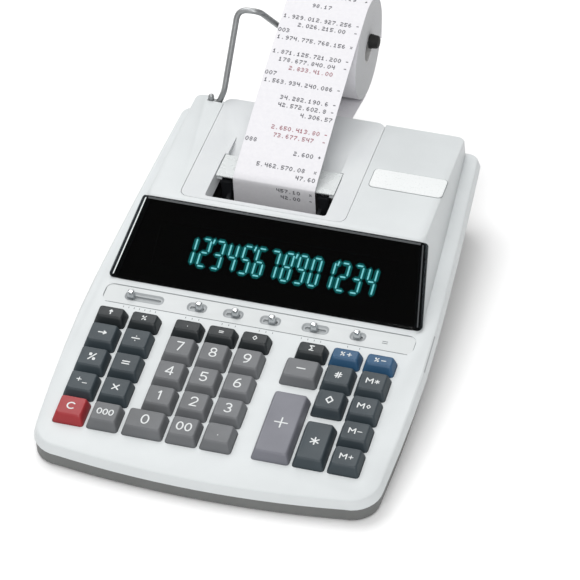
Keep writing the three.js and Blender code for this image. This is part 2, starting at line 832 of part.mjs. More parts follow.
// The black printer frame: floor, two side plates with bearings, guards and spool shelves
function printerFrame() {
  const inner = [paperLeft - gap - plateClear, paperLeft + paperWidth + gap + plateClear];
  const outer = [inner[0] - sidePlate, inner[1] + sidePlate];
  const floor = block(at(outer[0], frameFront, frameFloor), at(outer[1], frameBack, frameFloor + sidePlate));
  const plates = [
    block(at(outer[0], frameFront, frameFloor), at(inner[0], frameBack, shelfHeight)),
    block(at(inner[1], frameFront, frameFloor), at(outer[1], frameBack, shelfHeight)),
    block(at(outer[0], frameFront, frameFloor), at(inner[0], frameBack - spoolRadius * 2 - wall * 2, frameTop)),
    block(at(inner[1], frameFront, frameFloor), at(outer[1], frameBack - spoolRadius * 2 - wall * 2, frameTop)),
  ];
  const guardPlace = stripPlace + webClear;
  const wellEdge = wellSlope + wall;
  const guards = [
    block(at(wellLeft + wellEdge, guardPlace, guardFoot), at(inner[0], guardPlace + guardThick, guardTop)),
    block(at(inner[1], guardPlace, guardFoot), at(wellRight - wellEdge, guardPlace + guardThick, guardTop)),
  ];
  const shelves = [
    block(
      at(spoolAcross[0] - spoolHub, spoolPlace - spoolHub, shelfHeight - shelfThick),
      at(inner[0], spoolPlace + spoolHub, shelfHeight),
    ),
    block(
      at(inner[1], spoolPlace - spoolHub, shelfHeight - shelfThick),
      at(spoolAcross[1] + spoolHub, spoolPlace + spoolHub, shelfHeight),
    ),
  ];
  const pins = spoolAcross.map((place) => (
    post(spoolPin, shelfHeight - shelfThick / 2, shelfHeight + spoolHeight, place, spoolPlace)
  ));
  const bearing = rodAcross(platenShaft + bearingClear, outer[0] - overrun, outer[1] + overrun, platenAlong, 0);
  const motorHole = rodAcross(
    motorShaft + gap,
    inner[1] - overrun,
    outer[1] + overrun,
    motorPlace,
    motorHeight,
  );
  return shape(cut(joined([floor, ...plates, ...guards, ...shelves, ...pins]), [bearing, motorHole]));
}

function motor() {
  const face = paperLeft + paperWidth + gap + plateClear + sidePlate + gap;
  const body = rodAcross(motorRadius, face, face + motorLength, motorPlace, motorHeight);
  const tip = face - gap - sidePlate;
  const shaft = rodAcross(motorShaft, tip, face + overrun, motorPlace, motorHeight);
  return shape(joined([body, shaft]));
}

// The keyboard board with its processor underneath
function circuitBoard() {
  const sheetBlock = block(
    at(-boardHalfWidth, boardFront, boardTop - boardThick),
    at(boardHalfWidth, boardBack, boardTop),
  );
  const chip = block(
    at(-chipLength / 2, boardBack - chipWidth * 2, boardTop - boardThick - chipHeight),
    at(chipLength / 2, boardBack - chipWidth, boardTop - boardThick / 2),
  );
  return shape(joined([sheetBlock, chip]));
}

// The upper case: skirt, deck and housing as one shell, then every opening in it
function upperCase() {
  const outer = loft([
    caseRing(0, -skirtDrop),
    caseRing(skirtFlare, -edgeRound),
    caseRing(skirtFlare + edgeRound / 3, -edgeRound / 3),
    caseRing(skirtFlare + edgeRound, 0),
  ]);
  const hollow = loft([
    caseRing(wall, -skirtDrop - overrun),
    caseRing(skirtFlare + wall, -wall - edgeRound),
    caseRing(skirtFlare + wall + edgeRound, -wall),
  ]);
  const shell = solid(outer).add(solid(housing(0, 0, 0)));
  const room = solid(hollow).add(solid(housing(wall, wall, bezelThick)).add(solid(housingMouth())));
  const keyHoles = keys.map(({ width, depth, across: x, along }) => {
    const ring = (height) => roundedRing(
      width + keyClearance * 2,
      depth + keyClearance * 2,
      keyCorner + keyClearance,
      height,
      keyCornerSteps,
      at(x, along, 0),
    );
    return loft([ring(-wall - overrun), ring(overrun)]);
  });
  const strip = loft([-stripDepth, overrun].map((height) => roundedRing(
    stripHalfWidth * 2,
    stripBack - stripFront,
    (stripBack - stripFront) / 3,
    height,
    cornerSteps,
    at(0, (stripFront + stripBack) / 2, 0),
  )));
  const grooveRing = (i, inset, height) => roundedRing(
    grooveLengths[i] - inset * 2,
    grooveWidth - inset * 2,
    grooveWidth * grooveCornerShare - inset,
    height,
    cornerSteps,
    at(grooveStarts[i] + grooveLengths[i] / 2, slotPlace, 0),
  );
  const grooves = grooveStarts.map((start, i) => loft([
    grooveRing(i, grooveSlope, -stripDepth - grooveDepth),
    grooveRing(i, 0, -stripDepth),
    grooveRing(i, 0, overrun),
  ]));
  const slots = grooveStarts.map((start, i) => {
    const middle = at(start + grooveLengths[i] / 2, slotPlace, 0);
    const shorter = (grooveSlope + gap - keyClearance) * 2 + knobLength - knobStem;
    const ring = (height) => (
      roundedRing(grooveLengths[i] - shorter, slotWidth, slotWidth / 3, height, keyCornerSteps, middle)
    );
    return loft([ring(-wall - overrun), ring(overrun)]);
  });
  const recess = onFace(pane(gap, -windowThick - gap * 2, overrun));
  const aperture = onFace(block(
    at(-tubeHalfWidth + tubeLip, tubeMiddle - tubeDepth / 2 + tubeLip, -bezelThick - overrun * 2),
    at(tubeHalfWidth - tubeLip, tubeMiddle + tubeDepth / 2 - tubeLip, overrun),
  ));
  const coverSeat = coverPlate(gap, coverTop - coverThick - gap, coverTop + overrun, coverRear + overrun * 4);
  const mouth = coverPlate(-ledge, coverTop - wellDrop * 2, coverTop + overrun, coverRear - wall - ledge);
  const paperSlot = block(
    at(paperLeft - plateClear, coverRear - wall * 2 - overrun, topHeight - slotDrop - slotOpening / 2),
    at(paperLeft + paperWidth + plateClear, coverRear + overrun * 2, topHeight - slotDrop + slotOpening / 2),
  );
  const notch = block(
    at(legAcross - hookLength - wireRadius - gap, pivotBack - wireRadius - gap, pivotHeight - wireRadius - gap),
    at(legAcross + kneeAcross + wireRadius + gap, coverRear + overrun * 2, topHeight + overrun),
  );
  const fromTable = deckBasis.clone().invert();
  const tableCuts = [coverSeat, mouth, paperSlot, notch].map((tool) => tool.applyMatrix4(fromTable));
  const body = shell.subtract(room);
  return shape(cut(body, [...keyHoles, strip, ...grooves, ...slots, recess, aperture, ...tableCuts]));
}

// Opens the housing's hollow down into the case
function housingMouth() {
  const ring = (height) => housingRing(
    windowFoot + bezelThick * 2,
    caseLength - frontOverhang - wall,
    (along) => halfWidthAt(along) - skirtFlare - shoulder - wall,
    () => height,
  );
  return loft([ring(-wall - overrun), ring(-overrun / 2)]);
}

// The lower case leans in all round down to its floor
function baseRing(inset, lift) {
  const tight = caseRing(inset + frontDraft, 0);
  const loose = caseRing(inset + rearDraft, 0);
  return tight.map((point, i) => {
    const share = THREE.MathUtils.clamp(point.y / caseLength, 0, 1);
    const place = toTable(point.clone().lerp(loose[i], share));
    return at(place.x, place.y, footHeight + lift);
  });
}

function lowerCase() {
  const rim = -skirtDrop - gap;
  const outer = loft([
    baseRing(baseStep + baseRound, 0),
    baseRing(baseStep, baseRound),
    caseRing(baseStep, rim).map(toTable),
  ]);
  const hollow = loft([
    baseRing(baseStep + baseRound + wall, wall),
    baseRing(baseStep + wall, baseRound + wall),
    caseRing(baseStep + wall, rim + overrun).map(toTable),
  ]);
  const corners = [[-1, footFrontShare], [1, footFrontShare], [-1, footRearShare], [1, footRearShare]];
  const feet = corners.map(([side, share]) => (
    post(footRadius, 0, footHeight + wall / 2, side * rearHalfWidth * footSideShare, caseLength * share)
  ));
  const floorTop = footHeight + wall;
  const boardPosts = [];
  for (const side of [-1, 0, 1]) {
    for (const along of [boardFront + postRadius * 2, boardBack - postRadius * 2]) {
      const under = toTable(at(0, along, boardTop - boardThick - gap));
      const slack = postRadius * Math.tan(deckTilt);
      boardPosts.push(post(
        postRadius,
        floorTop - overrun,
        under.z - slack,
        side * (boardHalfWidth - postRadius * 4),
        under.y,
      ));
    }
  }
  const framePosts = [];
  for (const x of [paperLeft + postRadius, paperLeft + paperWidth - postRadius]) {
    for (const along of [frameFront + postRadius * 2, frameBack - postRadius * 2]) {
      const under = toTable(at(0, along, frameFloor - gap));
      const slack = postRadius * Math.tan(deckTilt);
      framePosts.push(post(postRadius, floorTop - overrun, under.z - slack, x, under.y));
    }
  }
  const core = block(
    at(transformerAcross - transformerWidth / 2, transformerPlace - transformerDepth / 2, floorTop - overrun),
    at(
      transformerAcross + transformerWidth / 2,
      transformerPlace + transformerDepth / 2,
      floorTop + transformerHeight,
    ),
  );
  const rearOut = toTable(at(0, caseLength, 0)).y;
  const bore = new THREE.CylinderGeometry(glandRadius, glandRadius, rearDraft * 4, roundSegments / 2);
  bore.translate(glandAcross, rearOut - rearDraft, glandHeight);
  const shell = solid(outer).subtract(solid(hollow));
  const built = shell.add(joined([...feet, ...boardPosts, ...framePosts, core]));
  return shape(cut(built, [bore]));
}

// Assembly: what lies on the deck goes in the tilted group
const machine = new THREE.Group();
const deck = new THREE.Group();
deck.position.set(0, 0, frontHeight);
deck.rotation.x = deckTilt;
const face = new THREE.Group();
face.position.set(0, windowFoot, 0);
face.rotation.x = faceLean;
deck.add(face);
machine.add(deck);

deck.add(named('upper_case', upperCase(), paleShell));
machine.add(named('lower_case', lowerCase(), darkShell));
machine.add(named('printer_cover', printerCover(), paleShell));
machine.add(named('tear_bar', tearBar(), clearPlastic));
face.add(named('display_window', pane(0, -windowThick - gap, -gap), smokedPane));

const tube = block(
  at(-tubeHalfWidth, tubeMiddle - tubeDepth / 2, -bezelThick - gap - tubeThick),
  at(tubeHalfWidth, tubeMiddle + tubeDepth / 2, -bezelThick - gap),
);
face.add(named('display_tube', tube, tubeGlass));

for (const key of keys) {
  const cap = named(`key_${key.name}`, keycap(key.width, key.depth), key.material);
  cap.position.set(key.across, key.along, 0);
  deck.add(cap);
}

for (const knob of knobs) {
  const slider = named(`switch_${knob.name}`, knobShape(), greyKnob);
  slider.position.set(knob.across, slotPlace, 0);
  deck.add(slider);
}

deck.add(named('circuit_board', circuitBoard(), greenBoard));
deck.add(named('printer_frame', printerFrame(), blackPlastic));
deck.add(named('drive_motor', motor(), steelWire));

const roller = named('platen_roller', platen(), blackRubber);
roller.position.set(paperCentre, platenAlong, 0);
deck.add(roller);

spoolAcross.forEach((place, i) => {
  const spool = named(`ribbon_spool_${['left', 'right'][i]}`, ribbonSpool(), blackPlastic);
  spool.position.set(place, spoolPlace, shelfHeight + gap);
  deck.add(spool);
});

machine.add(named('paper_arm', wireArm(), steelWire));
const cap = named('arm_end_cap', endCap(), blackRubber);
cap.position.set(spindleEnd - capLength + capWall + gap, rollBack, spindleHeight);
machine.add(cap);

const roll = named('paper_roll', paperRoll(), whitePaper);
roll.position.set(paperCentre, rollBack, rollHeight);
machine.add(roll);
machine.add(named('paper_web', sheet(webPath()), whitePaper));
machine.add(named('paper_strip', sheet(stripPath()), whitePaper));

// The origin is on the table, under the middle of the whole object
machine.updateMatrixWorld(true);
const bounds = new THREE.Box3().setFromObject(machine, true);
const middle = bounds.getCenter(new THREE.Vector3());
machine.position.set(-middle.x, -middle.y, -bounds.min.z);

export default machine;
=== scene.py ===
"""The looks of a desk printing calculator: moulded shells, keys, window, printer and paper."""

import json
import math

import bmesh
import bpy
from mathutils import Matrix, Vector


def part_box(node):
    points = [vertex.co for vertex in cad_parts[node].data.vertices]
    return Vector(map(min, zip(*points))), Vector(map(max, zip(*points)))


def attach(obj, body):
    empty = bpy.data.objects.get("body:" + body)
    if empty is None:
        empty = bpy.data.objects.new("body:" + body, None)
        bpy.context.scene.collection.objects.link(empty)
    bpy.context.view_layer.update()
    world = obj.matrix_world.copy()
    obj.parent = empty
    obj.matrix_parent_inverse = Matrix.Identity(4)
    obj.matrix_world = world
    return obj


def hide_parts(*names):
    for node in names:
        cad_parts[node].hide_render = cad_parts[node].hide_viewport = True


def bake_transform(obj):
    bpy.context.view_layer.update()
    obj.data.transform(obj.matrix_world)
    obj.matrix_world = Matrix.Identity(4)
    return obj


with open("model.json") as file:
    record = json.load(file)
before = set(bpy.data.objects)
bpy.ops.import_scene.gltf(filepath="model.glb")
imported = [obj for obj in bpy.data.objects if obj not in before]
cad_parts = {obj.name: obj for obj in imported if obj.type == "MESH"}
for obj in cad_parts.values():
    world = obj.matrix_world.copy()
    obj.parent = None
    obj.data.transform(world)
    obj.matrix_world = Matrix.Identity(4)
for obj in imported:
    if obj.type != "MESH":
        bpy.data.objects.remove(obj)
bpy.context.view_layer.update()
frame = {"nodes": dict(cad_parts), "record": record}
MM = 0.001


# Places shared with the solids, in millimetres from the deck's front edge
ROLL_LOW, ROLL_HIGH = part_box("paper_roll")
ROLL_BACK, ROLL_UP, ROLL_RADIUS, ROLL_CORE = 377.5, 91.0, 35.8, 9.0
DECK_FRONT = (ROLL_LOW.y + ROLL_HIGH.y) / 2 - ROLL_BACK * MM
FRONT_HEIGHT = 17.5
TILT = math.radians(7)
TOP_HEIGHT = 71.0
TABLE = Matrix.Translation((0, DECK_FRONT, 0)) @ Matrix.Scale(MM, 4)
DECK = TABLE @ Matrix.Translation((0, 0, FRONT_HEIGHT)) @ Matrix.Rotation(TILT, 4, "X")
WINDOW_FOOT, WINDOW_HEAD = 152.5, 212.0
FACE_RISE = (TOP_HEIGHT - FRONT_HEIGHT - WINDOW_HEAD * math.sin(TILT)) / math.cos(TILT)
FACE_LEAN = math.atan2(FACE_RISE, WINDOW_HEAD - WINDOW_FOOT)
FACE_LENGTH = math.hypot(FACE_RISE, WINDOW_HEAD - WINDOW_FOOT)
FACE = DECK @ Matrix.Translation((0, WINDOW_FOOT, 0)) @ Matrix.Rotation(FACE_LEAN, 4, "X")
PAPER_LEFT, PAPER_RIGHT = -44.5, 12.5


# Camera, set first: it stands where the photograph was taken from
CAMERA_ACROSS, CAMERA_BACK, CAMERA_UP = 505.5, -1595.4, 1547.2
AZIMUTH, ELEVATION = math.radians(15.57), math.radians(39.45)
SENSOR_WIDTH = 36
FOCAL_SHARE = 3600 / 580
CLIP_END = 20


def show(name, data):
    """A new object in the scene."""
    made = bpy.data.objects.new(name, data)
    bpy.context.scene.collection.objects.link(made)
    return made


def make_camera():
    data = bpy.data.cameras.new("camera")
    data.sensor_width = SENSOR_WIDTH
    data.lens = FOCAL_SHARE * SENSOR_WIDTH
    data.clip_end = CLIP_END
    camera = show("camera", data)
    camera.location = TABLE @ Vector((CAMERA_ACROSS, CAMERA_BACK, CAMERA_UP))
    camera.rotation_euler = (math.pi / 2 - ELEVATION, 0, AZIMUTH)
    bpy.context.scene.camera = camera
    bpy.context.scene.view_settings.view_transform = "Standard"


make_camera()


# Materials


def linear(value):
    """An sRGB hex colour as the linear colour that a shader takes."""
    parts = [int(value[i : i + 2], 16) / 255 for i in (1, 3, 5)]
    curve = [c / 12.92 if c <= 0.04045 else ((c + 0.055) / 1.055) ** 2.4 for c in parts]
    return (*curve, 1)


def node(tree, kind, settings=None, links=None):
    """Adds a node with its settings, and links from other nodes' outputs to its inputs."""
    made = tree.nodes.new(kind)
    for key, value in (settings or {}).items():
        if isinstance(key, str) and hasattr(made, key):
            setattr(made, key, value)
        else:
            made.inputs[key].default_value = value
    for key, (source, output) in (links or {}).items():
        tree.links.new(source.outputs[output], made.inputs[key])
    return made


def plain_finish(name, settings):
    """A new material with its shader's plain settings, and its coordinates named "place"."""
    made = bpy.data.materials.new(name)
    made.use_nodes = True
    surface = made.node_tree.nodes["Principled BSDF"]
    for key, value in settings.items():
        surface.inputs[key].default_value = value
    node(made.node_tree, "ShaderNodeTexCoord", {"name": "place"})
    return made


def on_piece(made):
    """Lays a pattern by the piece's own coordinates."""
    return {"Vector": (made.node_tree.nodes["place"], "Object")}


def vary(made, pattern, sockets, relief=None):
    """Lets a pattern vary a finish. Each socket goes from one value to another, given as hex
    colours, ready colours or plain numbers with their places on the pattern's scale. Relief is
    its depth in millimetres and its strength."""
    tree = made.node_tree
    surface = tree.nodes["Principled BSDF"]
    for socket, stops in sockets.items():
        spread = node(tree, "ShaderNodeValToRGB", links={"Fac": (pattern, "Fac")})
        for element, (position, value) in zip(spread.color_ramp.elements, stops):
            element.position = position
            if isinstance(value, str):
                value = linear(value)
            element.color = value if isinstance(value, tuple) else (value, value, value, 1)
        tree.links.new(spread.outputs["Color"], surface.inputs[socket])
    if relief:
        depth, strength = relief
        skin = {"Strength": strength, "Distance": depth * MM}
        raised = node(tree, "ShaderNodeBump", skin, {"Height": (pattern, "Fac")})
        tree.links.new(raised.outputs["Normal"], surface.inputs["Normal"])


def clouded(made, size, detail, sockets, relief=None):
    """Varies a finish by soft patches about size millimetres wide."""
    cloud = {"Scale": 1 / (size * MM), "Detail": detail, "Roughness": 0.6}
    patches = node(made.node_tree, "ShaderNodeTexNoise", cloud, on_piece(made))
    vary(made, patches, sockets, relief)


def moulded_abs(name, light, dark, rough, texture=0.9, height=0.03):
    """Moulded ABS: an even colour with slow drift from ageing, and the fine spark-eroded skin of
    its mould, which keeps highlights broad. The skin is drawn at the given size, coarser than
    real, so that it shows."""
    made = plain_finish(name, {"IOR": 1.53, "Specular IOR Level": 0.45})
    clouded(made, 45, 3, {"Base Color": ((0.3, dark), (0.7, light))})
    gloss = ((0.25, rough - 0.07), (0.75, rough + 0.07))
    clouded(made, texture, 3, {"Roughness": gloss}, (height, 0.5))
    return made


def smoked_acrylic():
    """Cast acrylic, smoke-tinted and polished, with faint wiping marks. Its IOR is set under the
    real 1.49, because the real pane is coated against glare and looks black."""
    tint = {"Base Color": linear("#3c4144"), "IOR": 1.16, "Transmission Weight": 1.0}
    made = plain_finish("smoked_acrylic", tint)
    clouded(made, 14, 4, {"Roughness": ((0.4, 0.03), (0.75, 0.09))})
    return made


def lit_phosphor(name, light, dark, strength):
    """Zinc oxide phosphor under the tube's glass: an even blue-green glow. The same finish, in a
    darker teal, also makes a painted glow round the lit segments.
    """
    unlit = {"Base Color": linear("#0b3a35"), "Roughness": 0.5, "Emission Strength": strength}
    made = plain_finish(name, unlit)
    clouded(made, 0.8, 2, {"Emission Color": ((0.3, dark), (0.7, light))})
    return made


def tube_glass():
    """The vacuum tube's flat glass, nearly black inside, with a dark graphite-grey ground in
    bands about 6 mm apart."""
    glass = {"Roughness": 0.25, "IOR": 1.5, "Coat Weight": 0.6, "Coat Roughness": 0.05}
    made = plain_finish("tube_glass", glass)
    bands = {"Scale": 1 / (9.5 * MM) / 2, "Distortion": 0.0}
    ground = node(made.node_tree, "ShaderNodeTexWave", bands, on_piece(made))
    vary(made, ground, {"Base Color": ((0.2, "#060b0b"), (0.9, "#0a1211"))})
    return made


def clear_styrene():
    """Frosted clear polystyrene, as a tear bar is moulded: milky, with a soft sheen."""
    milky = {"IOR": 1.58, "Transmission Weight": 0.12, "Subsurface Weight": 0.2}
    made = plain_finish("clear_styrene", {**milky, "Subsurface Radius": (0.004, 0.004, 0.004)})
    tones = ((0.3, "#d3d7d7"), (0.7, "#dadede"))
    clouded(made, 7, 3, {"Base Color": tones, "Roughness": ((0.3, 0.22), (0.7, 0.34))})
    return made


def plated_steel(name, light, dark, rough):
    """Steel under dull zinc plating: grey metal with faint clouds and fine scratches."""
    made = plain_finish(name, {"Metallic": 1.0})
    clouded(made, 5, 4, {"Base Color": ((0.3, dark), (0.7, light))})
    clouded(made, 0.7, 2, {"Roughness": ((0.3, rough - 0.06), (0.7, rough + 0.08))}, (0.01, 0.3))
    return made


def nitrile_rubber():
    """Ground nitrile rubber: nearly black, matt, with a dusty bloom."""
    made = plain_finish("nitrile_rubber", {"Roughness": 0.82, "IOR": 1.52})
    clouded(made, 6, 4, {"Base Color": ((0.35, "#141415"), (0.75, "#222223"))})
    clouded(made, 0.5, 2, {}, (0.02, 0.4))
    return made


def uncoated_paper():
    """Uncoated roll paper: bright white with faint fibre clouding and no gloss."""
    made = plain_finish("uncoated_paper", {"Roughness": 0.92, "IOR": 1.45, "Sheen Weight": 0.15})
    clouded(made, 2.5, 5, {"Base Color": ((0.25, "#dedde1"), (0.75, "#e5e4e7"))}, (0.02, 0.25))
    return made


# A wave texture at scale 1 repeats each tau / 20 units, so this turns a spacing to its scale
WAVE_SCALE = 20 / math.tau
PAPER_MIDDLE = (PAPER_LEFT + PAPER_RIGHT) / 2


def wound_edge_painted_shade():
    """The cut edges of wound paper: rings round the core, a little darker where the winding is
    loose. The edges are a grey well under the sheet's white, which is painted shade on the roll's
    end faces. Ring spacing is drawn at 1.2 mm, many sheets to a ring."""
    made = plain_finish("wound_edge_painted_shade", {"Roughness": 0.95, "IOR": 1.45})
    tree = made.node_tree
    centre = TABLE @ Vector((PAPER_MIDDLE, ROLL_BACK, ROLL_UP))
    moved = node(tree, "ShaderNodeMapping", {"Location": tuple(-centre)}, on_piece(made))
    across = {"operation": "MULTIPLY", 1: (0.0, 1.0, 1.0)}
    flat = node(tree, "ShaderNodeVectorMath", across, {0: (moved, "Vector")})
    rings = {
        "wave_type": "RINGS",
        "rings_direction": "SPHERICAL",
        "Scale": 1 / (1.2 * MM) / WAVE_SCALE,
        "Distortion": 1.2,
        "Detail": 2.0,
        "Detail Scale": 3.0,
    }
    windings = node(tree, "ShaderNodeTexWave", rings, {"Vector": (flat, "Vector")})
    vary(made, windings, {"Base Color": ((0.0, "#bdbec0"), (1.0, "#c8c9cb"))}, (0.05, 0.5))
    return made


def grey_board():
    """The spiral-wound cardboard core."""
    made = plain_finish("grey_board", {"Roughness": 0.9, "IOR": 1.45})
    clouded(made, 1.5, 4, {"Base Color": ((0.3, "#bdbdbc"), (0.7, "#c9c9c8"))}, (0.03, 0.4))
    return made


def ribbon_ink(name, value):
    """Ink from a dry ribbon: matt, and slightly broken by the paper's fibres."""
    made = plain_finish(name, {"Roughness": 0.8})
    clouded(made, 0.9, 3, {"Base Color": ((0.35, value), (0.9, "#8a8a90"))})
    return made


def printed_ink(name, value, rough=0.5):
    """Pad-printed or double-shot marks, and the painted shadow in seams: flat colour, slightly
    uneven in its film.
    """
    made = plain_finish(name, {"Roughness": rough, "IOR": 1.5})
    base = linear(value)
    faded = (*[c * 0.9 for c in base[:3]], 1)
    clouded(made, 1.2, 2, {"Base Color": ((0.3, faded), (0.7, base))})
    return made


def lacquered_board():
    """Glass-filled circuit board under green lacquer, with the faint weave of its cloth."""
    made = plain_finish("lacquered_board", {"Roughness": 0.35, "IOR": 1.5})
    threads = {"Scale": 1 / (0.8 * MM)}
    weave = node(made.node_tree, "ShaderNodeTexChecker", threads, on_piece(made))
    vary(made, weave, {"Base Color": ((0.0, "#23552f"), (1.0, "#2b6238"))})
    return made


PALE = moulded_abs("moulded_abs_pale", "#d1d5d6", "#cbcfd0", 0.42)
PALE_COVER = moulded_abs("moulded_abs_pale_cover", "#d1d4d5", "#cbced0", 0.42)
DARK_SHELL = moulded_abs("moulded_abs_grey", "#6b6d6c", "#636463", 0.55)
STRIP_SATIN = moulded_abs("moulded_abs_satin", "#cdd0d1", "#c8cccc", 0.42, 1.2, 0.01)
# Darker grey for the faces sunk in the switch strip's grooves: painted shade in the recesses
GROOVE_PAINTED_SHADE = moulded_abs("moulded_abs_groove_painted_shade", "#a2a6a8", "#979b9d", 0.4, 1.2, 0.01)
NAME_PLATE = moulded_abs("moulded_abs_plate", "#e2e4e4", "#dcdfdf", 0.3, 1.4, 0.01)
BLACK_ABS = moulded_abs("moulded_abs_black", "#1b1d20", "#141619", 0.5)
CAP_BLACK = moulded_abs("moulded_abs_cap", "#080909", "#050606", 0.7)
KEY_TONES = {
    "slate": ("#343f45", "#2c363c", 0.5),
    "black": ("#1f2629", "#181d20", 0.5),
    "grey": ("#6b6d70", "#5f6163", 0.5),
    "red": ("#a3282e", "#902228", 0.45),
    "blue": ("#2b577c", "#244c6b", 0.48),
    "stone": ("#777880", "#6c6d75", 0.5),
}
KEY_PLASTIC = {
    f"key_{tone}": moulded_abs(f"key_abs_{tone}", *values, texture=0.7)
    for tone, values in KEY_TONES.items()
}
ACRYLIC = smoked_acrylic()
PHOSPHOR = lit_phosphor("lit_phosphor", "#a6f2ef", "#8ae6e3", 13.5)
# A painted glow: wide, dim strokes behind the lit segments
PAINTED_GLOW = lit_phosphor("painted_digit_glow", "#0a6a66", "#085854", 13.0)
TUBE = tube_glass()
STYRENE = clear_styrene()
WIRE = plated_steel("plated_wire", "#a9abac", "#989a9b", 0.42)
KNOB_CHROME = plated_steel("plated_knob", "#cbced0", "#bcbfc1", 0.15)
# Finishes for the window's edge lines: a light one that is a painted highlight, and a dark one
# that is painted shade
PAINTED_HIGHLIGHT_EDGE = moulded_abs("painted_highlight_edge", "#e9ecec", "#dde1e1", 0.25, 1.2, 0.005)
SHADED_EDGE = moulded_abs("shaded_edge", "#4d5052", "#444749", 0.3, 1.2, 0.005)
SLOT_GREY = moulded_abs("moulded_abs_slot", "#a3a7a9", "#989c9e", 0.6)
MOTOR_CAN = plated_steel("zinc_can", "#b3b4b3", "#9c9e9e", 0.42)
RUBBER = nitrile_rubber()
PAPER = uncoated_paper()
PAPER_EDGE_PAINTED_SHADE = wound_edge_painted_shade()
CORE_BOARD = grey_board()
INK_BLACK = ribbon_ink("ribbon_ink_black", "#515157")
INK_RED = ribbon_ink("ribbon_ink_red", "#a8666e")
LEGEND_WHITE = printed_ink("legend_white", "#dadddd")
LEGEND_GREY = printed_ink("legend_grey", "#6f7578")
# Dark grey for the lines round the switch strip, along its front lip and round the name plate:
# painted shadow in the seams
SEAM_PAINTED_SHADOW = printed_ink("seam_shadow", "#7d8284", 0.8)
MASK_BLACK = printed_ink("mask_black", "#040505", 0.6)
BOARD = lacquered_board()


# Which slot and which body each CAD node has
SLOTS = {row["node"]: row["material_slot"] for row in frame["record"]["subparts"]}
BODIES = {
    member: body
    for body, members in frame["record"]["behaviour"]["bodies"].items()
    for member in members
}


# Mesh helpers. Points are given in millimetres and a frame turns them to metres.


def add_piece(name, mesh, body, finish, slot=None, replaces=(), bevel=0.0, angle=38):
    """A finished piece: its mesh already has its place, so its object sits at the origin. Its
    shading is smooth where faces meet at less than the angle."""
    mesh.name = name
    made = show(name, mesh)
    if not mesh.materials:
        mesh.materials.append(finish)
    mesh.polygons.foreach_set("use_smooth", [True] * len(mesh.polygons))
    mesh.set_sharp_from_angle(angle=math.radians(angle))
    if bevel:
        rounding = made.modifiers.new("rounding", "BEVEL")
        rounding.width = bevel * MM
        rounding.segments = 2
        rounding.limit_method = "ANGLE"
        rounding.angle_limit = math.radians(angle)
        rounding.harden_normals = True
    if body:
        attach(made, body)
    if replaces:
        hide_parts(*replaces)
    return made


def mesh_from(points, faces, where=TABLE):
    mesh = bpy.data.meshes.new("shape")
    mesh.from_pydata([where @ Vector(p) for p in points], [], faces)
    mesh.update()
    return mesh


def lofted(rings, where=TABLE, closed=False):
    """A closed skin through rings with the same number of points, lowest ring first."""
    count = len(rings[0])
    points = [p for ring in rings for p in ring]
    faces = []
    for level in range(len(rings) if closed else len(rings) - 1):
        low = level * count
        high = (level + 1) % len(rings) * count
        for i in range(count):
            j = (i + 1) % count
            faces.append((low + i, low + j, high + j, high + i))
    if not closed:
        faces.append(tuple(reversed(range(count))))
        faces.append(tuple(range((len(rings) - 1) * count, len(points))))
    return mesh_from(points, faces, where)


def prism_faces(base, count):
    """Faces of a prism: its lower outline starts at point base and its upper one follows."""
    faces = [tuple(base + i for i in reversed(range(count)))]
    faces.append(tuple(base + count + i for i in range(count)))
    for i in range(count):
        j = (i + 1) % count
        faces.append((base + i, base + j, base + count + j, base + count + i))
    return faces


def outward(mesh):
    """A closed mesh with its doubles merged and its faces turned outwards."""
    clean = bmesh.new()
    clean.from_mesh(mesh)
    bmesh.ops.remove_doubles(clean, verts=clean.verts, dist=1e-7)
    bmesh.ops.recalc_face_normals(clean, faces=clean.faces)
    clean.to_mesh(mesh)
    clean.free()
    return mesh


def turned(profile, where, segments=64):
    """A closed profile of (along, radius) pairs turned about the frame's X axis."""
    rings = []
    for i in range(segments):
        angle = math.tau * i / segments
        rings.append([(a, r * math.cos(angle), r * math.sin(angle)) for a, r in profile])
    return outward(lofted(rings, where, closed=True))


def rounded(width, depth, corner, height, steps=5, middle=(0, 0), between=0):
    """A rounded rectangle as a ring of points, with extra ones between its corners if asked."""
    ring = []
    for turn, (side_x, side_y) in enumerate(((1, -1), (1, 1), (-1, 1), (-1, -1))):
        x = middle[0] + side_x * (width / 2 - corner)
        y = middle[1] + side_y * (depth / 2 - corner)
        for i in range(steps + 1):
            angle = (turn - 1 + i / steps) * math.pi / 2
            ring.append((x + corner * math.cos(angle), y + corner * math.sin(angle), height))
    full = []
    for i, point in enumerate(ring):
        full.append(point)
        if between and i % (steps + 1) == steps:
            after = ring[(i + 1) % len(ring)]
            for k in range(1, between + 1):
                t = k / (between + 1)
                full.append(tuple(a + (b - a) * t for a, b in zip(point, after)))
    return full


def copy_of(node_name):
    """A CAD node's mesh as a clean copy: doubles merged and flat areas made one face."""
    mesh = frame["nodes"][node_name].data.copy()
    mesh.materials.clear()
    clean = bmesh.new()
    clean.from_mesh(mesh)
    bmesh.ops.remove_doubles(clean, verts=clean.verts, dist=2e-6)
    bmesh.ops.dissolve_limit(
        clean, angle_limit=math.radians(0.2), verts=clean.verts, edges=clean.edges
    )
    clean.to_mesh(mesh)
    clean.free()
    return mesh


def points_of(node_name, where):
    """A CAD node's points in the millimetres of a frame."""
    back = where.inverted()
    return [back @ v.co for v in frame["nodes"][node_name].data.vertices]


def place_on_deck(node_name):
    """A CAD node's middle on the deck, its width and depth, and its top."""
    points = points_of(node_name, DECK)
    low, high = ([pick(p[i] for p in points) for i in range(3)] for pick in (min, max))
    middle = ((low[0] + high[0]) / 2, (low[1] + high[1]) / 2)
    return middle, (high[0] - low[0], high[1] - low[1]), high[2]


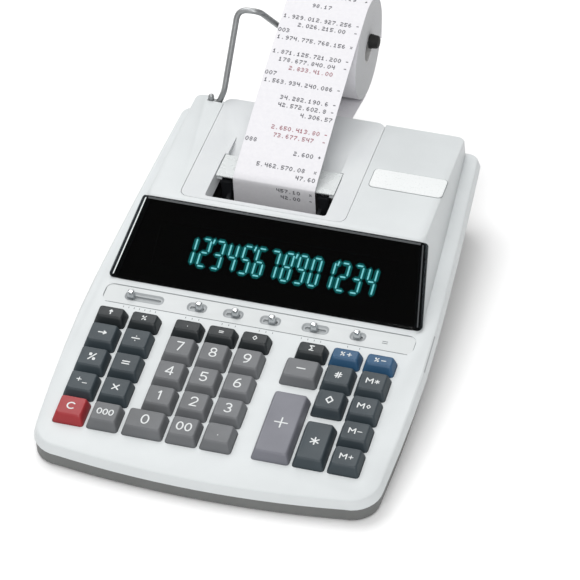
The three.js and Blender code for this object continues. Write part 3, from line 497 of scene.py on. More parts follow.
def joined(parts):
    """Several meshes as one, with their materials kept."""
    whole = bmesh.new()
    finishes = []
    for mesh, finish in parts:
        if finish not in finishes:
            finishes.append(finish)
        start = len(whole.faces)
        whole.from_mesh(mesh)
        whole.faces.ensure_lookup_table()
        for face in whole.faces[start:]:
            face.material_index = finishes.index(finish)
    mesh = bpy.data.meshes.new("joined")
    whole.to_mesh(mesh)
    whole.free()
    for finish in finishes:
        mesh.materials.append(finish)
    return mesh


# Window: the smoked pane, with lines of painted highlight and painted shade along its edges


STRIP_FRONT, STRIP_BACK, STRIP_DEPTH, STRIP_HALF = 134.2, 150.8, 0.5, 105.7
WINDOW_THICK = 1.6
PANE_FOOT_CORNER, PANE_HEAD_CORNER = 3.6, 2.0
CORNER_STEPS = 6
# The ends hang down less towards the foot, where the deck is near: from none to all of it
HANG_FROM, HANG_RUN = 2, 12
# Rings from back to face: inset at foot and head, width past the solid at the ends, height, and
# how far the ends hang down
PANE_RINGS = [
    (0.25, -0.25, -WINDOW_THICK, 0.0),
    (0.0, 0.0, -0.1, 0.0),
    (0.0, 2.2, 0.12, 0.0),
    (0.0, 2.9, 0.1, 2.2),
    (0.0, 3.6, 0.1, 2.3),
    (0.1, 3.3, 0.45, 0.9),
    (0.3, 2.6, 0.8, 0.2),
    (0.7, 0.1, 0.95, 0.0),
    (0.9, -0.3, 1.3, 0.0),
    (1.3, -0.8, 1.4, 0.0),
]
# Sections of the lines: out from the solid's end or in from its head, and height
END_SECTION = [(-0.1, 0.7), (0.75, 0.7), (0.75, 1.05), (-0.1, 1.4)]
END_INSETS = (2.2, 2.0)
BROW_SECTION = [(2.5, 1.2), (0.8, 0.7), (0.8, 1.1), (1.2, 1.48), (2.5, 1.48)]
BROW_INSET = 1.0


def window_pane():
    """The smoked pane: a low plateau with sloped ends that lap the corners of the housing."""
    points = points_of("display_window", FACE)
    foot = [p for p in points if p.y < FACE_LENGTH / 2]
    head = [p for p in points if p.y > FACE_LENGTH / 2]
    low, high = min(p.y for p in foot), max(p.y for p in head)
    half_foot, half_head = max(p.x for p in foot), max(p.x for p in head if p.y > high - 1)

    def half_at(y):
        return half_foot + (half_head - half_foot) * (y - low) / (high - low)

    def outline(inset, out, height, hang):
        ring = []
        for side, start in ((1, -90), (1, 0), (-1, 90), (-1, 180)):
            top = start in (0, 90)
            radius = (PANE_HEAD_CORNER if top else PANE_FOOT_CORNER) - inset * 0.4
            y = (high - inset - radius) if top else (low + inset + radius)
            x = side * (half_at(y) + out - radius)
            for i in range(CORNER_STEPS + 1):
                angle = math.radians(start + i * 90 / CORNER_STEPS)
                dx, dy = radius * math.cos(angle), radius * math.sin(angle)
                share = min(1.0, max(0.0, (y + dy - HANG_FROM) / HANG_RUN))
                ring.append((x + dx, y + dy, height - hang * abs(math.cos(angle)) * share))
        return ring

    mesh = lofted([outline(*row) for row in PANE_RINGS], FACE)
    add_piece("window_pane", mesh, "case", ACRYLIC, "window_smoked", ["display_window"], angle=7)
    # The edge lines are painted light: a painted highlight along the left end, and painted shade
    # along the right end and along the head
    edges = []
    for side, finish in ((-1, PAINTED_HIGHLIGHT_EDGE), (1, SHADED_EDGE)):
        ends = []
        for y in (low + END_INSETS[0], high - END_INSETS[1]):
            ends.append([(side * (half_at(y) + out), y, height) for out, height in END_SECTION])
        edges.append((lofted(ends[::-side], FACE), finish))
    reach = half_head - BROW_INSET
    brow = [[(x, high - inset, up) for inset, up in BROW_SECTION] for x in (reach, -reach)]
    edges.append((lofted(brow, FACE), SHADED_EDGE))
    add_piece("window_edges", joined(edges), "case", PAINTED_HIGHLIGHT_EDGE)


# Case shells and cover


GROOVE_EDGE, FOOT_TOP = 0.15, 1.95


def dress_shells():
    top = copy_of("upper_case")
    for finish in (PALE, STRIP_SATIN, GROOVE_PAINTED_SHADE):
        top.materials.append(finish)
    to_deck = DECK.inverted()
    for face in top.polygons:
        spot = to_deck @ face.center
        in_strip = -STRIP_DEPTH - 2 < spot.z < -STRIP_DEPTH / 2
        on_strip = STRIP_FRONT < spot.y < STRIP_BACK and in_strip
        # Faces sunk in the grooves take the darker grey, which is painted shade
        in_groove = on_strip and spot.z < -STRIP_DEPTH - GROOVE_EDGE
        face.material_index = 2 if in_groove else int(on_strip)
    add_piece("case_top", top, "case", PALE, "shell_pale", ["upper_case"], 0.35, 32)
    bottom = copy_of("lower_case")
    bottom.materials.append(DARK_SHELL)
    bottom.materials.append(RUBBER)
    for face in bottom.polygons:
        face.material_index = int(face.center.z < FOOT_TOP * MM)
    add_piece("case_bottom", bottom, "case", DARK_SHELL, "shell_dark", ["lower_case"], 0.3, 32)
    cover = copy_of("printer_cover")
    add_piece("cover_panel", cover, "cover", PALE_COVER, "shell_pale", ["printer_cover"], 0.3, 32)
    chassis = copy_of("printer_frame")
    slot, nodes = "printer_black", ["printer_frame"]
    add_piece("printer_chassis", chassis, "case", BLACK_ABS, slot, nodes, 0.25)
    window_pane()


dress_shells()


# Plain finishes on the solids that keep their shape
KEPT = {
    "display_tube": TUBE,
    "platen_roller": RUBBER,
    "ribbon_spool_left": BLACK_ABS,
    "ribbon_spool_right": BLACK_ABS,
    "drive_motor": MOTOR_CAN,
    "circuit_board": BOARD,
}
for kept_name, kept_finish in KEPT.items():
    kept = frame["nodes"][kept_name]
    kept.data.materials.clear()
    kept.data.materials.append(kept_finish)


# Keycaps


KEY_HEIGHT, KEY_SKIRT, KEY_SHOULDER, KEY_DISH = 7.0, 3.6, 0.9, 0.5
KEY_FRONT, KEY_BACK, KEY_SIDE = 3.0, 1.6, 2.0
KEY_SHIFT = (KEY_FRONT - KEY_BACK) / 2
KEY_CORNER = 1.6
KEY_BETWEEN = 7
FLANK_BOW = 1.15
KEYS = {name: place_on_deck(name)[:2] for name in frame["nodes"] if name.startswith("key_")}


def key_top(size, x, y):
    """Height of the dished top of a key at a point from the top's middle."""
    half_x = (size[0] - KEY_SIDE * 2) / 2
    half_y = (size[1] - KEY_FRONT - KEY_BACK) / 2
    hollow = max(0.0, 1 - (x / half_x) ** 2) * max(0.0, 1 - (y / half_y) ** 2)
    return KEY_HEIGHT - KEY_DISH * hollow


def keycap(name):
    middle, size = KEYS[name]
    width, depth = size
    top_width, top_depth = width - KEY_SIDE * 2, depth - KEY_FRONT - KEY_BACK

    def ring(across, along, corner, height, pull=0.0):
        return rounded(across, along, corner, height, 5, (0, KEY_SHIFT * pull), KEY_BETWEEN)

    rings = [ring(width, depth, KEY_CORNER, height) for height in (-KEY_SKIRT, KEY_SHOULDER)]
    rise = KEY_HEIGHT - KEY_SHOULDER
    for share in (0.25, 0.5, 0.75, 0.9):
        pull = share**FLANK_BOW
        across = width + (top_width - width) * pull
        along = depth + (top_depth - depth) * pull
        rings.append(ring(across, along, KEY_CORNER, KEY_SHOULDER + rise * share, pull))
    for inset, drop in ((0.0, 0.45), (0.16, 0.14), (0.55, 0.0)):
        corner = max(KEY_CORNER - inset, 0.4)
        across, along = top_width - inset * 2, top_depth - inset * 2
        rings.append(ring(across, along, corner, KEY_HEIGHT - drop, 1.0))
    for share in (0.86, 0.7, 0.5, 0.3, 0.12):
        flat = ring(top_width * share, top_depth * share, KEY_CORNER * share, 0)
        rings.append([(x, y + KEY_SHIFT, key_top(size, x, y)) for x, y, _ in flat])
    mesh = lofted(rings, DECK @ Matrix.Translation((*middle, 0)))
    slot = SLOTS[name]
    add_piece(f"cap_{name}", mesh, BODIES[name], KEY_PLASTIC[slot], slot, [name], angle=50)


# Legends: generic digits and signs only, drawn as strokes with tapered ends


def bow(half_width, half_height, middle, start, stop, step):
    """Points of an elliptic arc, by whole degrees."""
    turns = [math.radians(degrees) for degrees in range(start, stop, step)]
    return [
        (half_width * math.cos(a) + middle[0], middle[1] + half_height * math.sin(a))
        for a in turns
    ]


GLYPHS = {
    "plus": [[(-1, 0), (1, 0)], [(0, -1), (0, 1)]],
    "minus": [[(-1, 0), (1, 0)]],
    "times": [[(-0.75, -0.75), (0.75, 0.75)], [(-0.75, 0.75), (0.75, -0.75)]],
    "divide": [[(-1, 0), (1, 0)], [(0, 0.72), (0, 0.74)], [(0, -0.74), (0, -0.72)]],
    "equals": [[(-0.9, 0.38), (0.9, 0.38)], [(-0.9, -0.38), (0.9, -0.38)]],
    "diamond": [[(0, 1), (0.8, 0), (0, -1), (-0.8, 0), (0, 1)]],
    "number": [
        [(-0.45, -1), (-0.2, 1)],
        [(0.2, -1), (0.45, 1)],
        [(-0.9, -0.35), (0.85, -0.35)],
        [(-0.85, 0.35), (0.9, 0.35)],
    ],
    "star": [[(-0.85, -0.5), (0.85, 0.5)], [(-0.85, 0.5), (0.85, -0.5)], [(0, -1), (0, 1)]],
    "arrow": [[(-1, 0), (0.95, 0)], [(0.35, 0.5), (1, 0), (0.35, -0.5)]],
    "up": [[(0, -1), (0, 0.9)], [(-0.55, 0.3), (0, 1), (0.55, 0.3)]],
    "dot": [[(0, -0.62), (0, -0.6)]],
    "percent": [
        [(-0.75, -1), (0.75, 1)],
        [(-0.72, 0.9), (-0.35, 0.9), (-0.35, 0.4), (-0.72, 0.4), (-0.72, 0.9)],
        [(0.35, -0.4), (0.72, -0.4), (0.72, -0.9), (0.35, -0.9), (0.35, -0.4)],
    ],
    "sum": [[(0.7, 1), (-0.7, 1), (0.15, 0), (-0.7, -1), (0.7, -1)]],
    "M": [[(-1, -1), (-1, 1), (0, -0.1), (1, 1), (1, -1)]],
    "C": [bow(1, 1, (0, 0), 45, 316, 30)],
    "0": [bow(0.62, 1, (0, 0), 0, 361, 18)],
    "1": [[(-0.35, 0.6), (0.05, 1), (0.05, -1)]],
    "2": [bow(0.6, 0.58, (0, 0.42), 170, -41, -21) + [(-0.6, -1), (0.62, -1)]],
    "3": [
        bow(0.52, 0.5, (-0.02, 0.5), 150, -91, -24),
        bow(0.6, 0.5, (-0.02, -0.5), 90, -151, -24),
    ],
    "4": [[(0.7, -0.4), (-0.68, -0.4), (0.35, 1), (0.35, -1)]],
    "5": [
        [(0.55, 1), (-0.45, 1), (-0.55, 0.12)]
        + bow(0.62, 0.62, (-0.02, -0.36), 130, -151, -28)
    ],
    "6": [
        bow(0.6, 0.58, (0, -0.42), 180, -181, -30),
        [(-0.6, -0.42), (-0.45, 0.35), (-0.1, 0.85), (0.35, 1)],
    ],
    "7": [[(-0.6, 1), (0.62, 1), (-0.1, -1)]],
    "8": [
        bow(0.5, 0.48, (0, 0.5), -90, 271, 30),
        bow(0.6, 0.52, (0, -0.5), 90, -271, -30),
    ],
    "9": [
        bow(0.6, 0.58, (0, 0.42), 0, 361, 30),
        [(0.6, 0.42), (0.45, -0.35), (0.1, -0.85), (-0.35, -1)],
    ],
}


def stroke_prisms(strokes, weight, lift, height):
    """Flat strokes as thin closed prisms: one six-sided bar for each straight run."""
    points, faces = [], []
    for line in strokes:
        for start, end in zip(line, line[1:]):
            a, b = Vector(start), Vector(end)
            run = (b - a).normalized()
            side = Vector((-run.y, run.x)) * weight / 2
            tip = run * weight / 2
            outline = [a - tip, a - side, b - side, b + tip, b + side, a + side]
            faces += prism_faces(len(points), len(outline))
            for level in (0, height):
                points += [(p.x, p.y, lift(p.x, p.y) + level) for p in outline]
    return points, faces


def flat_strokes(name, strokes, weight, level, thick, finish, where=DECK):
    """A piece of the case from strokes that all lie at one level."""
    points, faces = stroke_prisms(strokes, weight, lambda x, y: level, thick)
    add_piece(name, mesh_from(points, faces, where), "case", finish)


# What each key carries: a sign at the middle of its top with its size in millimetres, or more
# signs, each with its place and size
SINGLE_SIGNS = {
    "feed": ("up", 1.8),
    "backspace": ("arrow", 2.6),
    "percent": ("percent", 2.8),
    "clear": ("C", 2.6),
    "rate": ("percent", 1.7),
    "divide": ("divide", 2.6),
    "equals": ("equals", 2.6),
    "times": ("times", 2.7),
    "sell": ("equals", 1.6),
    "margin": ("diamond", 1.7),
    "grand_total": ("sum", 1.9),
    "point": ("dot", 2.9),
    "minus": ("minus", 2.7),
    "plus": ("plus", 4.2),
    "star": ("star", 3.0),
    "number": ("number", 2.4),
    "subtotal": ("diamond", 2.8),
    **{digit: (digit, 3.6) for digit in "0123456789"},
}
LEGENDS = {f"key_{key}": [(sign, 0, 0, size)] for key, (sign, size) in SINGLE_SIGNS.items()}
LEGENDS["key_cost"] = [("dot", 0, 1, 2.2)]
LEGENDS["key_sign"] = [("plus", -2.2, 1.2, 1.5), ("minus", 2.2, -1.4, 1.5)]
LEGENDS["key_double_zero"] = [("0", x, 0, 3.1) for x in (-2.8, 2.8)]
LEGENDS["key_triple_zero"] = [("0", x, 0, 2.2) for x in (-3.9, 0, 3.9)]
for sign in ("plus", "minus"):
    LEGENDS[f"key_tax_{sign}"] = [("percent", -2.0, 0, 1.5), (sign, 2.4, 0, 1.4)]
MEMORY_SIGNS = {
    "total": ("star", 1.6),
    "subtotal": ("diamond", 1.5),
    "minus": ("minus", 1.4),
    "plus": ("plus", 1.4),
}
for key, (sign, size) in MEMORY_SIGNS.items():
    LEGENDS[f"key_memory_{key}"] = [("M", -2.0, 0, 2.0), (sign, 3.0, 0, size)]
# The stroke's weight for signs under each size
STROKE_WEIGHTS = ((1.8, 0.62), (2.5, 0.8), (math.inf, 0.95))
LEGEND_LIFT, LEGEND_THICK = 0.03, 0.06


def legend(name):
    middle, size = KEYS[name]
    points, faces = [], []
    for sign, x, y, scale in LEGENDS[name]:
        strokes = [[(x + u * scale, y + v * scale) for u, v in line] for line in GLYPHS[sign]]
        weight = next(weight for limit, weight in STROKE_WEIGHTS if scale < limit)
        more, sides = stroke_prisms(
            strokes, weight, lambda u, v: key_top(size, u, v), LEGEND_THICK
        )
        faces += [tuple(len(points) + i for i in side) for side in sides]
        points += [(u, v + KEY_SHIFT, w) for u, v, w in more]
    mesh = mesh_from(points, faces, DECK @ Matrix.Translation((*middle, LEGEND_LIFT)))
    add_piece(f"legend_{name}", mesh, BODIES[name], LEGEND_WHITE)


for key_name in KEYS:
    keycap(key_name)
    legend(key_name)


# Lit digits on the tube, behind the smoked window


# Ends of each segment, in half widths and quarter heights of a digit
SEGMENTS = {
    "a": ((-0.62, 2), (0.62, 2)),
    "b": ((1, 1.72), (1, 0.3)),
    "c": ((1, -0.3), (1, -1.72)),
    "d": ((-0.62, -2), (0.62, -2)),
    "e": ((-1, -0.3), (-1, -1.72)),
    "f": ((-1, 1.72), (-1, 0.3)),
    "g": ((-0.58, 0), (0.58, 0)),
    "mark": ((-1.95, 2.08), (-2.1, 1.55)),
}
DIGIT_SEGMENTS = dict(
    zip(
        "0123456789",
        "abcdef bc abged abgcd fgbc afgcd afgedc abc abcdefg abcdfg".split(),
    )
)
SHOWN = "12345678901234"
TUBE_DEPTH = -4.9
DIGIT_FIRST, DIGIT_LAST, DIGIT_MIDDLE = -57.9, 65.7, 31.6
DIGIT_HALF_WIDTH, DIGIT_HALF_HEIGHT, DIGIT_SLANT = 2.55, 9.6, 0.05
SEGMENT_WEIGHT, SEGMENT_LIFT, SEGMENT_THICK = 1.05, 0.1, 0.1
HALO_WEIGHT, HALO_THICK = 4.0, 0.06


def lit_digits():
    pitch = (DIGIT_LAST - DIGIT_FIRST) / (len(SHOWN) - 1)
    strokes = []
    for i, digit in enumerate(SHOWN):
        centre = DIGIT_FIRST + pitch * i
        grouped = i and (len(SHOWN) - i) % 3 == 0
        for part in [*DIGIT_SEGMENTS[digit], *(["mark"] if grouped else [])]:
            line = []
            for x, y in SEGMENTS[part]:
                up = y / 2 * DIGIT_HALF_HEIGHT
                line.append((centre + x * DIGIT_HALF_WIDTH + up * DIGIT_SLANT, DIGIT_MIDDLE + up))
            strokes.append(line)
    lift = TUBE_DEPTH + SEGMENT_LIFT
    flat_strokes("lit_digits", strokes, SEGMENT_WEIGHT, lift, SEGMENT_THICK, PHOSPHOR, FACE)
    # Wide strokes under the segments: a painted glow round them
    flat_strokes("painted_digit_glow_strokes", strokes, HALO_WEIGHT, TUBE_DEPTH, HALO_THICK, PAINTED_GLOW, FACE)


lit_digits()


MASK_HALF_FOOT, MASK_HALF_HEAD, MASK_INSET = 101.5, 92.0, 3.2
MASK_GAP, MASK_THICK, SLEEVE_WALL = 0.33, 0.2, 0.3
TUBE_HALF, TUBE_OPEN, TUBE_GAP = 81.5, 15.5, 0.25


def window_mask():
    """The black border printed on the back of the window, with a short sleeve to the tube."""
    foot, head = MASK_INSET, FACE_LENGTH - MASK_INSET
    low, high = FACE_LENGTH / 2 - TUBE_OPEN, FACE_LENGTH / 2 + TUBE_OPEN

    def ring(half_low, low, half_high, high, height):
        corners = [(-half_low, low), (half_low, low), (half_high, high), (-half_high, high)]
        return [(*corner, height) for corner in corners]

    outer = (MASK_HALF_FOOT, foot, MASK_HALF_HEAD, head)
    hole = (TUBE_HALF, low, TUBE_HALF, high)
    wide = TUBE_HALF + SLEEVE_WALL
    sleeve = (wide, low - SLEEVE_WALL, wide, high + SLEEVE_WALL)
    front, end = -WINDOW_THICK - MASK_GAP, TUBE_DEPTH + TUBE_GAP
    back = front - MASK_THICK
    rings = [ring(*hole, front), ring(*hole, end), ring(*sleeve, end), ring(*sleeve, back)]
    rings = [ring(*outer, front), *rings, ring(*outer, back)]
    add_piece("window_mask", lofted(rings, FACE, closed=True), "case", MASK_BLACK)


window_mask()


# Slide knobs, each on a thin stem through its slot


GROOVE_DEPTH, KNOB_GAP = 1.0, 0.3
SHIELD_TOP = -2.62
STEM_WIDTH, STEM_DEPTH, STEM_CORNER = 3.2, 1.8, 0.6
KNOB_CORNER = 1.5
# How a knob closes at its top: inset, and how far under the top
KNOB_TOP = [(0.5, 1.1), (0.62, 0.5), (0.85, 0.15), (1.25, 0)]


def slide_knob(name):
    middle, (width, depth), top = place_on_deck(name)
    base = -STRIP_DEPTH - GROOVE_DEPTH + KNOB_GAP
    stem = rounded(STEM_WIDTH, STEM_DEPTH, STEM_CORNER, SHIELD_TOP + 0.1)
    rings = [stem, [(x, y, base) for x, y, _ in stem]]
    foot = [(0.0, base), (0.1, base + 1.6)]
    for inset, height in foot + [(inset, top - drop) for inset, drop in KNOB_TOP]:
        corner = min(KNOB_CORNER + inset * 0.1, (depth - inset * 2) / 2 - 0.05)
        rings.append(rounded(width - inset * 2, depth - inset * 2, corner, height))
    mesh = lofted(rings, DECK @ Matrix.Translation((*middle, 0)))
    add_piece(f"knob_{name}", mesh, BODIES[name], KNOB_CHROME, "knob_grey", [name], angle=50)


for knob_name in frame["nodes"]:
    if knob_name.startswith("switch_"):
        slide_knob(knob_name)


def plate(width, depth, corner, middle, steps=5):
    """Gives a plate's rounded outline by inset and height."""

    def ring(inset, height):
        inner = (width - inset * 2, depth - inset * 2, corner - inset)
        return rounded(*inner, height, steps, middle)

    return ring


def seam(name, ring, first, last, low, high, where):
    """A thin line of painted shade round a plate, between two insets and two heights."""
    corners = ((first, low), (first, high), (last, high), (last, low))
    mesh = lofted([ring(*corner) for corner in corners], where, closed=True)
    add_piece(name, mesh, "case", SEAM_PAINTED_SHADOW)


STRIP_CORNER = 3.0
SHIELD_WIDTH, SHIELD_DEPTH, SHIELD_MIDDLE, SHIELD_THICK = 170, 7, (-10.5, 142.6), 0.5
# The lip's section: in front of the strip, and height
LIP_SECTION = [(0.5, 0.01), (0.05, 0.01), (0.05, 0.06), (0.5, 0.06)]
SIGN_STROKES = [[(84.2, y), (87.6, y)] for y in (142.3, 140.7)]
# Middle, spread and number of the ticks in front of each slot
TICKS = [(-78.2, 22, 7), (-42.0, 9, 3), (-17.1, 9, 3), (8.2, 9, 3), (38.7, 13, 4), (67.4, 8, 2)]
TICK_FRONT, TICK_BACK = 131.2, 132.4
SIGN_WEIGHT, TICK_WEIGHT = 0.55, 0.42
FILM_LIFT, FILM_THICK = 0.01, 0.05


def strip_marks():
    """The seam round the switch plate and the line in front of its lip, both painted shade, the
    dust shield under its slots, and small grey ticks in front of them."""
    ring = plate(SHIELD_WIDTH, SHIELD_DEPTH, 1, SHIELD_MIDDLE)
    shield = [ring(0, SHIELD_TOP - SHIELD_THICK), ring(0, SHIELD_TOP)]
    add_piece("slot_shield", lofted(shield, DECK), "case", SLOT_GREY)

    middle = (0, (STRIP_FRONT + STRIP_BACK) / 2)
    ring = plate(STRIP_HALF * 2, STRIP_BACK - STRIP_FRONT, STRIP_CORNER, middle)
    low = -STRIP_DEPTH + FILM_LIFT
    seam("plate_seam", ring, 0.05, 0.5, low, low + 0.06, DECK)
    # A line of painted shade on the deck along the strip's front edge
    reach = STRIP_HALF - STRIP_CORNER
    lip = [[(x, STRIP_FRONT - near, up) for near, up in LIP_SECTION] for x in (reach, -reach)]
    add_piece("plate_lip", lofted(lip, DECK), "case", SEAM_PAINTED_SHADOW)
    flat_strokes("plate_sign", SIGN_STROKES, SIGN_WEIGHT, low, FILM_THICK, LEGEND_GREY)
    ticks = []
    for centre, spread, count in TICKS:
        for i in range(count):
            x = centre - spread / 2 + spread * i / (count - 1)
            ticks.append([(x, TICK_FRONT), (x, TICK_BACK)])
    flat_strokes("slot_ticks", ticks, TICK_WEIGHT, FILM_LIFT, FILM_THICK, LEGEND_GREY)


strip_marks()


# The wire arm, its cap and the roll


SPINDLE_UP = 97.65
ARM_ROUTE = [
    (-84.0, 318.0, 75.0),
    (-84.0, 318.0, 68.9),
    (-78.5, 318.0, 68.9),
    (-75.5, 321.0, 77.5),
    (-73.2, 348.7, 127.4),
    (-58.0, 348.7, 128.5),
    (-52.0, ROLL_BACK, SPINDLE_UP),
    (18.3, ROLL_BACK, SPINDLE_UP),
]
ARM_BENDS = [3, 3, 3, 7, 7, 3]
BEND_STEPS = 10
WIRE_RADIUS, WIRE_SIDES = 2.05, 16
# A domed end: how far in from the end, and how wide, both in radii
DOME = [(0.02, 0.35), (0.3, 0.8), (0.8, 1)]


def bent_path(points, radii):
    """Straight runs joined by quadratic bends, as points."""
    corners = [Vector(p) for p in points]
    path = [corners[0]]
    for before, corner, after, radius in zip(corners, corners[1:], corners[2:], radii):
        entry = corner + (before - corner).normalized() * radius
        leave = corner + (after - corner).normalized() * radius
        for i in range(BEND_STEPS + 1):
            t = i / BEND_STEPS
            path.append(entry * (1 - t) ** 2 + corner * 2 * t * (1 - t) + leave * t**2)
    path.append(corners[-1])
    return path


def wire_arm():
    """A round wire along its path, with domed ends."""
    path = bent_path(ARM_ROUTE, ARM_BENDS)
    rings = []
    up = Vector((0.3, 0.1, 1)).normalized()
    last = len(path) - 1
    for i, point in enumerate(path):
        run = (path[min(i + 1, last)] - path[max(i - 1, 0)]).normalized()
        side = run.cross(up).normalized()
        up = side.cross(run).normalized()
        scales = [(0, 1)]
        if i == 0:
            scales = DOME
        if i == last:
            scales = [(-shift, share) for shift, share in reversed(DOME)]
        for shift, share in scales:
            centre = point + run * shift * WIRE_RADIUS
            ring = []
            for k in range(WIRE_SIDES):
                angle = math.tau * k / WIRE_SIDES
                out = side * math.cos(angle) + up * math.sin(angle)
                ring.append(tuple(centre + out * WIRE_RADIUS * share))
            rings.append(ring)
    mesh = outward(lofted(rings))
    add_piece("wire_arm", mesh, "arm", WIRE, "wire_steel", ["paper_arm"], angle=60)


CAP_PLACE = 13.0
CAP_BORE = 2.36
CAP_PROFILE = [
    (0, CAP_BORE),
    (0, 4.8),
    (0.4, 5.2),
    (2.0, 5.2),
    (2.4, 4.9),
    (5.2, 4.6),
    (6.4, 4.1),
    (7.05, 2.8),
    (7.2, 0.0),
    (5.6, 0.0),
    (5.6, CAP_BORE),
]


def end_cap():
    where = TABLE @ Matrix.Translation((CAP_PLACE, ROLL_BACK, SPINDLE_UP))
    mesh = turned(CAP_PROFILE, where, 40)
    add_piece("spindle_cap", mesh, "arm", CAP_BLACK, "cap_black", ["arm_end_cap"])


CORE_WALL, CORE_INSET, CORE_GAP = 1.6, 0.3, 0.02
WIND_STEPS, WIND_WANDER, WIND_BEAT = 26, 0.12, 2.1
ROLL_EDGE, WALL_INSET, ROLL_SEGMENTS = 0.2, 0.25, 120
SIDEWAYS = 0.7


def paper_roll():
    """The wound roll, whose sheets stand a little in and out at its sides, and its core."""
    half = (PAPER_RIGHT - PAPER_LEFT) / 2
    where = TABLE @ Matrix.Translation((PAPER_MIDDLE, ROLL_BACK, ROLL_UP))
    inner = ROLL_CORE + CORE_WALL
    wall = []
    for i in range(WIND_STEPS + 1):
        radius = inner + (ROLL_RADIUS - WALL_INSET - inner) * i / WIND_STEPS
        inside = 0 < i < WIND_STEPS
        wander = WIND_WANDER * (1 - abs(math.sin(i * WIND_BEAT))) if inside else 0
        wall.append((half - wander, radius))
    profile = [(-x, radius) for x, radius in wall]
    profile += [(ROLL_EDGE - half, ROLL_RADIUS), (half - ROLL_EDGE, ROLL_RADIUS)]
    wound = turned(profile + wall[::-1], where, ROLL_SEGMENTS)
    end, outer = half - CORE_INSET, inner - CORE_GAP
    core = turned([(-end, ROLL_CORE), (-end, outer), (end, outer), (end, ROLL_CORE)], where)
    mesh = joined([(wound, PAPER), (core, CORE_BOARD)])
    # The roll's end faces take the wound edge's grey, which is painted shade
    mesh.materials.append(PAPER_EDGE_PAINTED_SHADE)
    for face in mesh.polygons:
        if face.material_index == 0 and abs(face.normal.x) > SIDEWAYS:
            face.material_index = 2
    add_piece("paper_stock", mesh, "roll", PAPER, "paper_white", ["paper_roll"])


wire_arm()
end_cap()
paper_roll()


# Paper: the web and the printed strip, as thin bent sheets. Their paths lie in one plane, with
# points back and up in millimetres.


PAPER_THICK = 0.3
PAPER_COLUMNS = 6
PLATEN_RADIUS, WEB_CLEAR = 9.0, 0.45
STRIP_PLACE = 240.6
PLATEN = (DECK @ Vector((0, STRIP_PLACE + WEB_CLEAR + PLATEN_RADIUS, 0))) / MM
PLATEN = Vector((PLATEN.y - DECK_FRONT / MM, PLATEN.z))
ROLL = Vector((ROLL_BACK, ROLL_UP))
TEAR_FRONT, TEAR_DEPTH, TEAR_STEP = 236.5, 24.4, 0.4
COVER_REAR = (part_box("printer_cover")[1].y - DECK_FRONT) / MM
DOOR_UP = 64.0
DOOR_INSET, WRAP_SHORT = 1.5, 0.06 * math.pi
OUTSIDE_STEPS, WITHIN_STEPS, WRAP_STEPS = 10, 14, 16
CLIMB_STEPS, BOW_STEPS, BOW_RISE = 8, 26, 1.5
DRAPE_STEPS, FALL_STEPS, FALL_LENGTH = 30, 5, 15.8


def around(centre, radius, angle):
    return centre + Vector((math.cos(angle), math.sin(angle))) * radius


def arc(centre, radius, start, end, steps):
    return [around(centre, radius, start + (end - start) * i / steps) for i in range(steps + 1)]


def strip_path():
    """From the platen's front, over the tear bar, on to the roll and down behind it."""
    foot = around(PLATEN, PLATEN_RADIUS + WEB_CLEAR, TILT - math.pi)
    crease = Vector((TEAR_FRONT - WEB_CLEAR - PAPER_THICK, TOP_HEIGHT - TEAR_STEP + WEB_CLEAR))
    radius = ROLL_RADIUS + WEB_CLEAR
    reach = crease - ROLL
    touch = (math.atan2(reach.y, reach.x) - math.acos(radius / reach.length)) % math.tau
    landing = around(ROLL, radius, touch)
    climb = [foot.lerp(crease, i / CLIMB_STEPS) for i in range(CLIMB_STEPS)]
    run = landing - crease
    lift = Vector((-run.y, run.x)).normalized() * BOW_RISE
    turn = crease + Vector((PAPER_THICK, PAPER_THICK * 3))
    shares = [i / BOW_STEPS for i in range(1, BOW_STEPS)]
    bowed = [turn.lerp(landing, t) + lift * math.sin(math.pi * t) for t in shares]
    drape = arc(ROLL, radius, touch, 0, DRAPE_STEPS)
    steps = range(1, FALL_STEPS + 1)
    fall = [drape[-1] + Vector((0, -FALL_LENGTH * i / FALL_STEPS)) for i in steps]
    return [*climb, crease, turn, *bowed, *drape, *fall]


def web_path():
    """From the roll's underside through the rear slot and round under the platen."""
    door = Vector((COVER_REAR - DOOR_INSET, DOOR_UP))
    reach = door - ROLL
    sweep = math.acos((ROLL_RADIUS + WEB_CLEAR) / reach.length)
    start = around(ROLL, ROLL_RADIUS + WEB_CLEAR, math.atan2(reach.y, reach.x) + sweep)
    inside = door - PLATEN
    wrap = PLATEN_RADIUS + WEB_CLEAR
    touch = math.atan2(inside.y, inside.x) - math.acos(wrap / inside.length)
    turn = arc(PLATEN, wrap, touch, TILT - math.pi + WRAP_SHORT, WRAP_STEPS)
    outside = [start.lerp(door, i / OUTSIDE_STEPS) for i in range(OUTSIDE_STEPS)]
    within = [door.lerp(turn[0], i / WITHIN_STEPS) for i in range(WITHIN_STEPS)]
    return [*outside, *within, *turn]


def paper_sheet(name, path, node_name):
    """A sheet of paper as a thin closed solid along a path, with its width in columns."""
    width = PAPER_RIGHT - PAPER_LEFT
    columns = [PAPER_LEFT + width * k / PAPER_COLUMNS for k in range(PAPER_COLUMNS + 1)]
    rings = []
    for i, point in enumerate(path):
        run = (path[min(i + 1, len(path) - 1)] - path[max(i - 1, 0)]).normalized()
        normal = Vector((-run.y, run.x)) * PAPER_THICK / 2
        front, back = point + normal, point - normal
        rings.append([(x, *front) for x in columns] + [(x, *back) for x in columns[::-1]])
    mesh = outward(lofted(rings))
    return add_piece(name, mesh, None, PAPER, "paper_white", [node_name], angle=60)


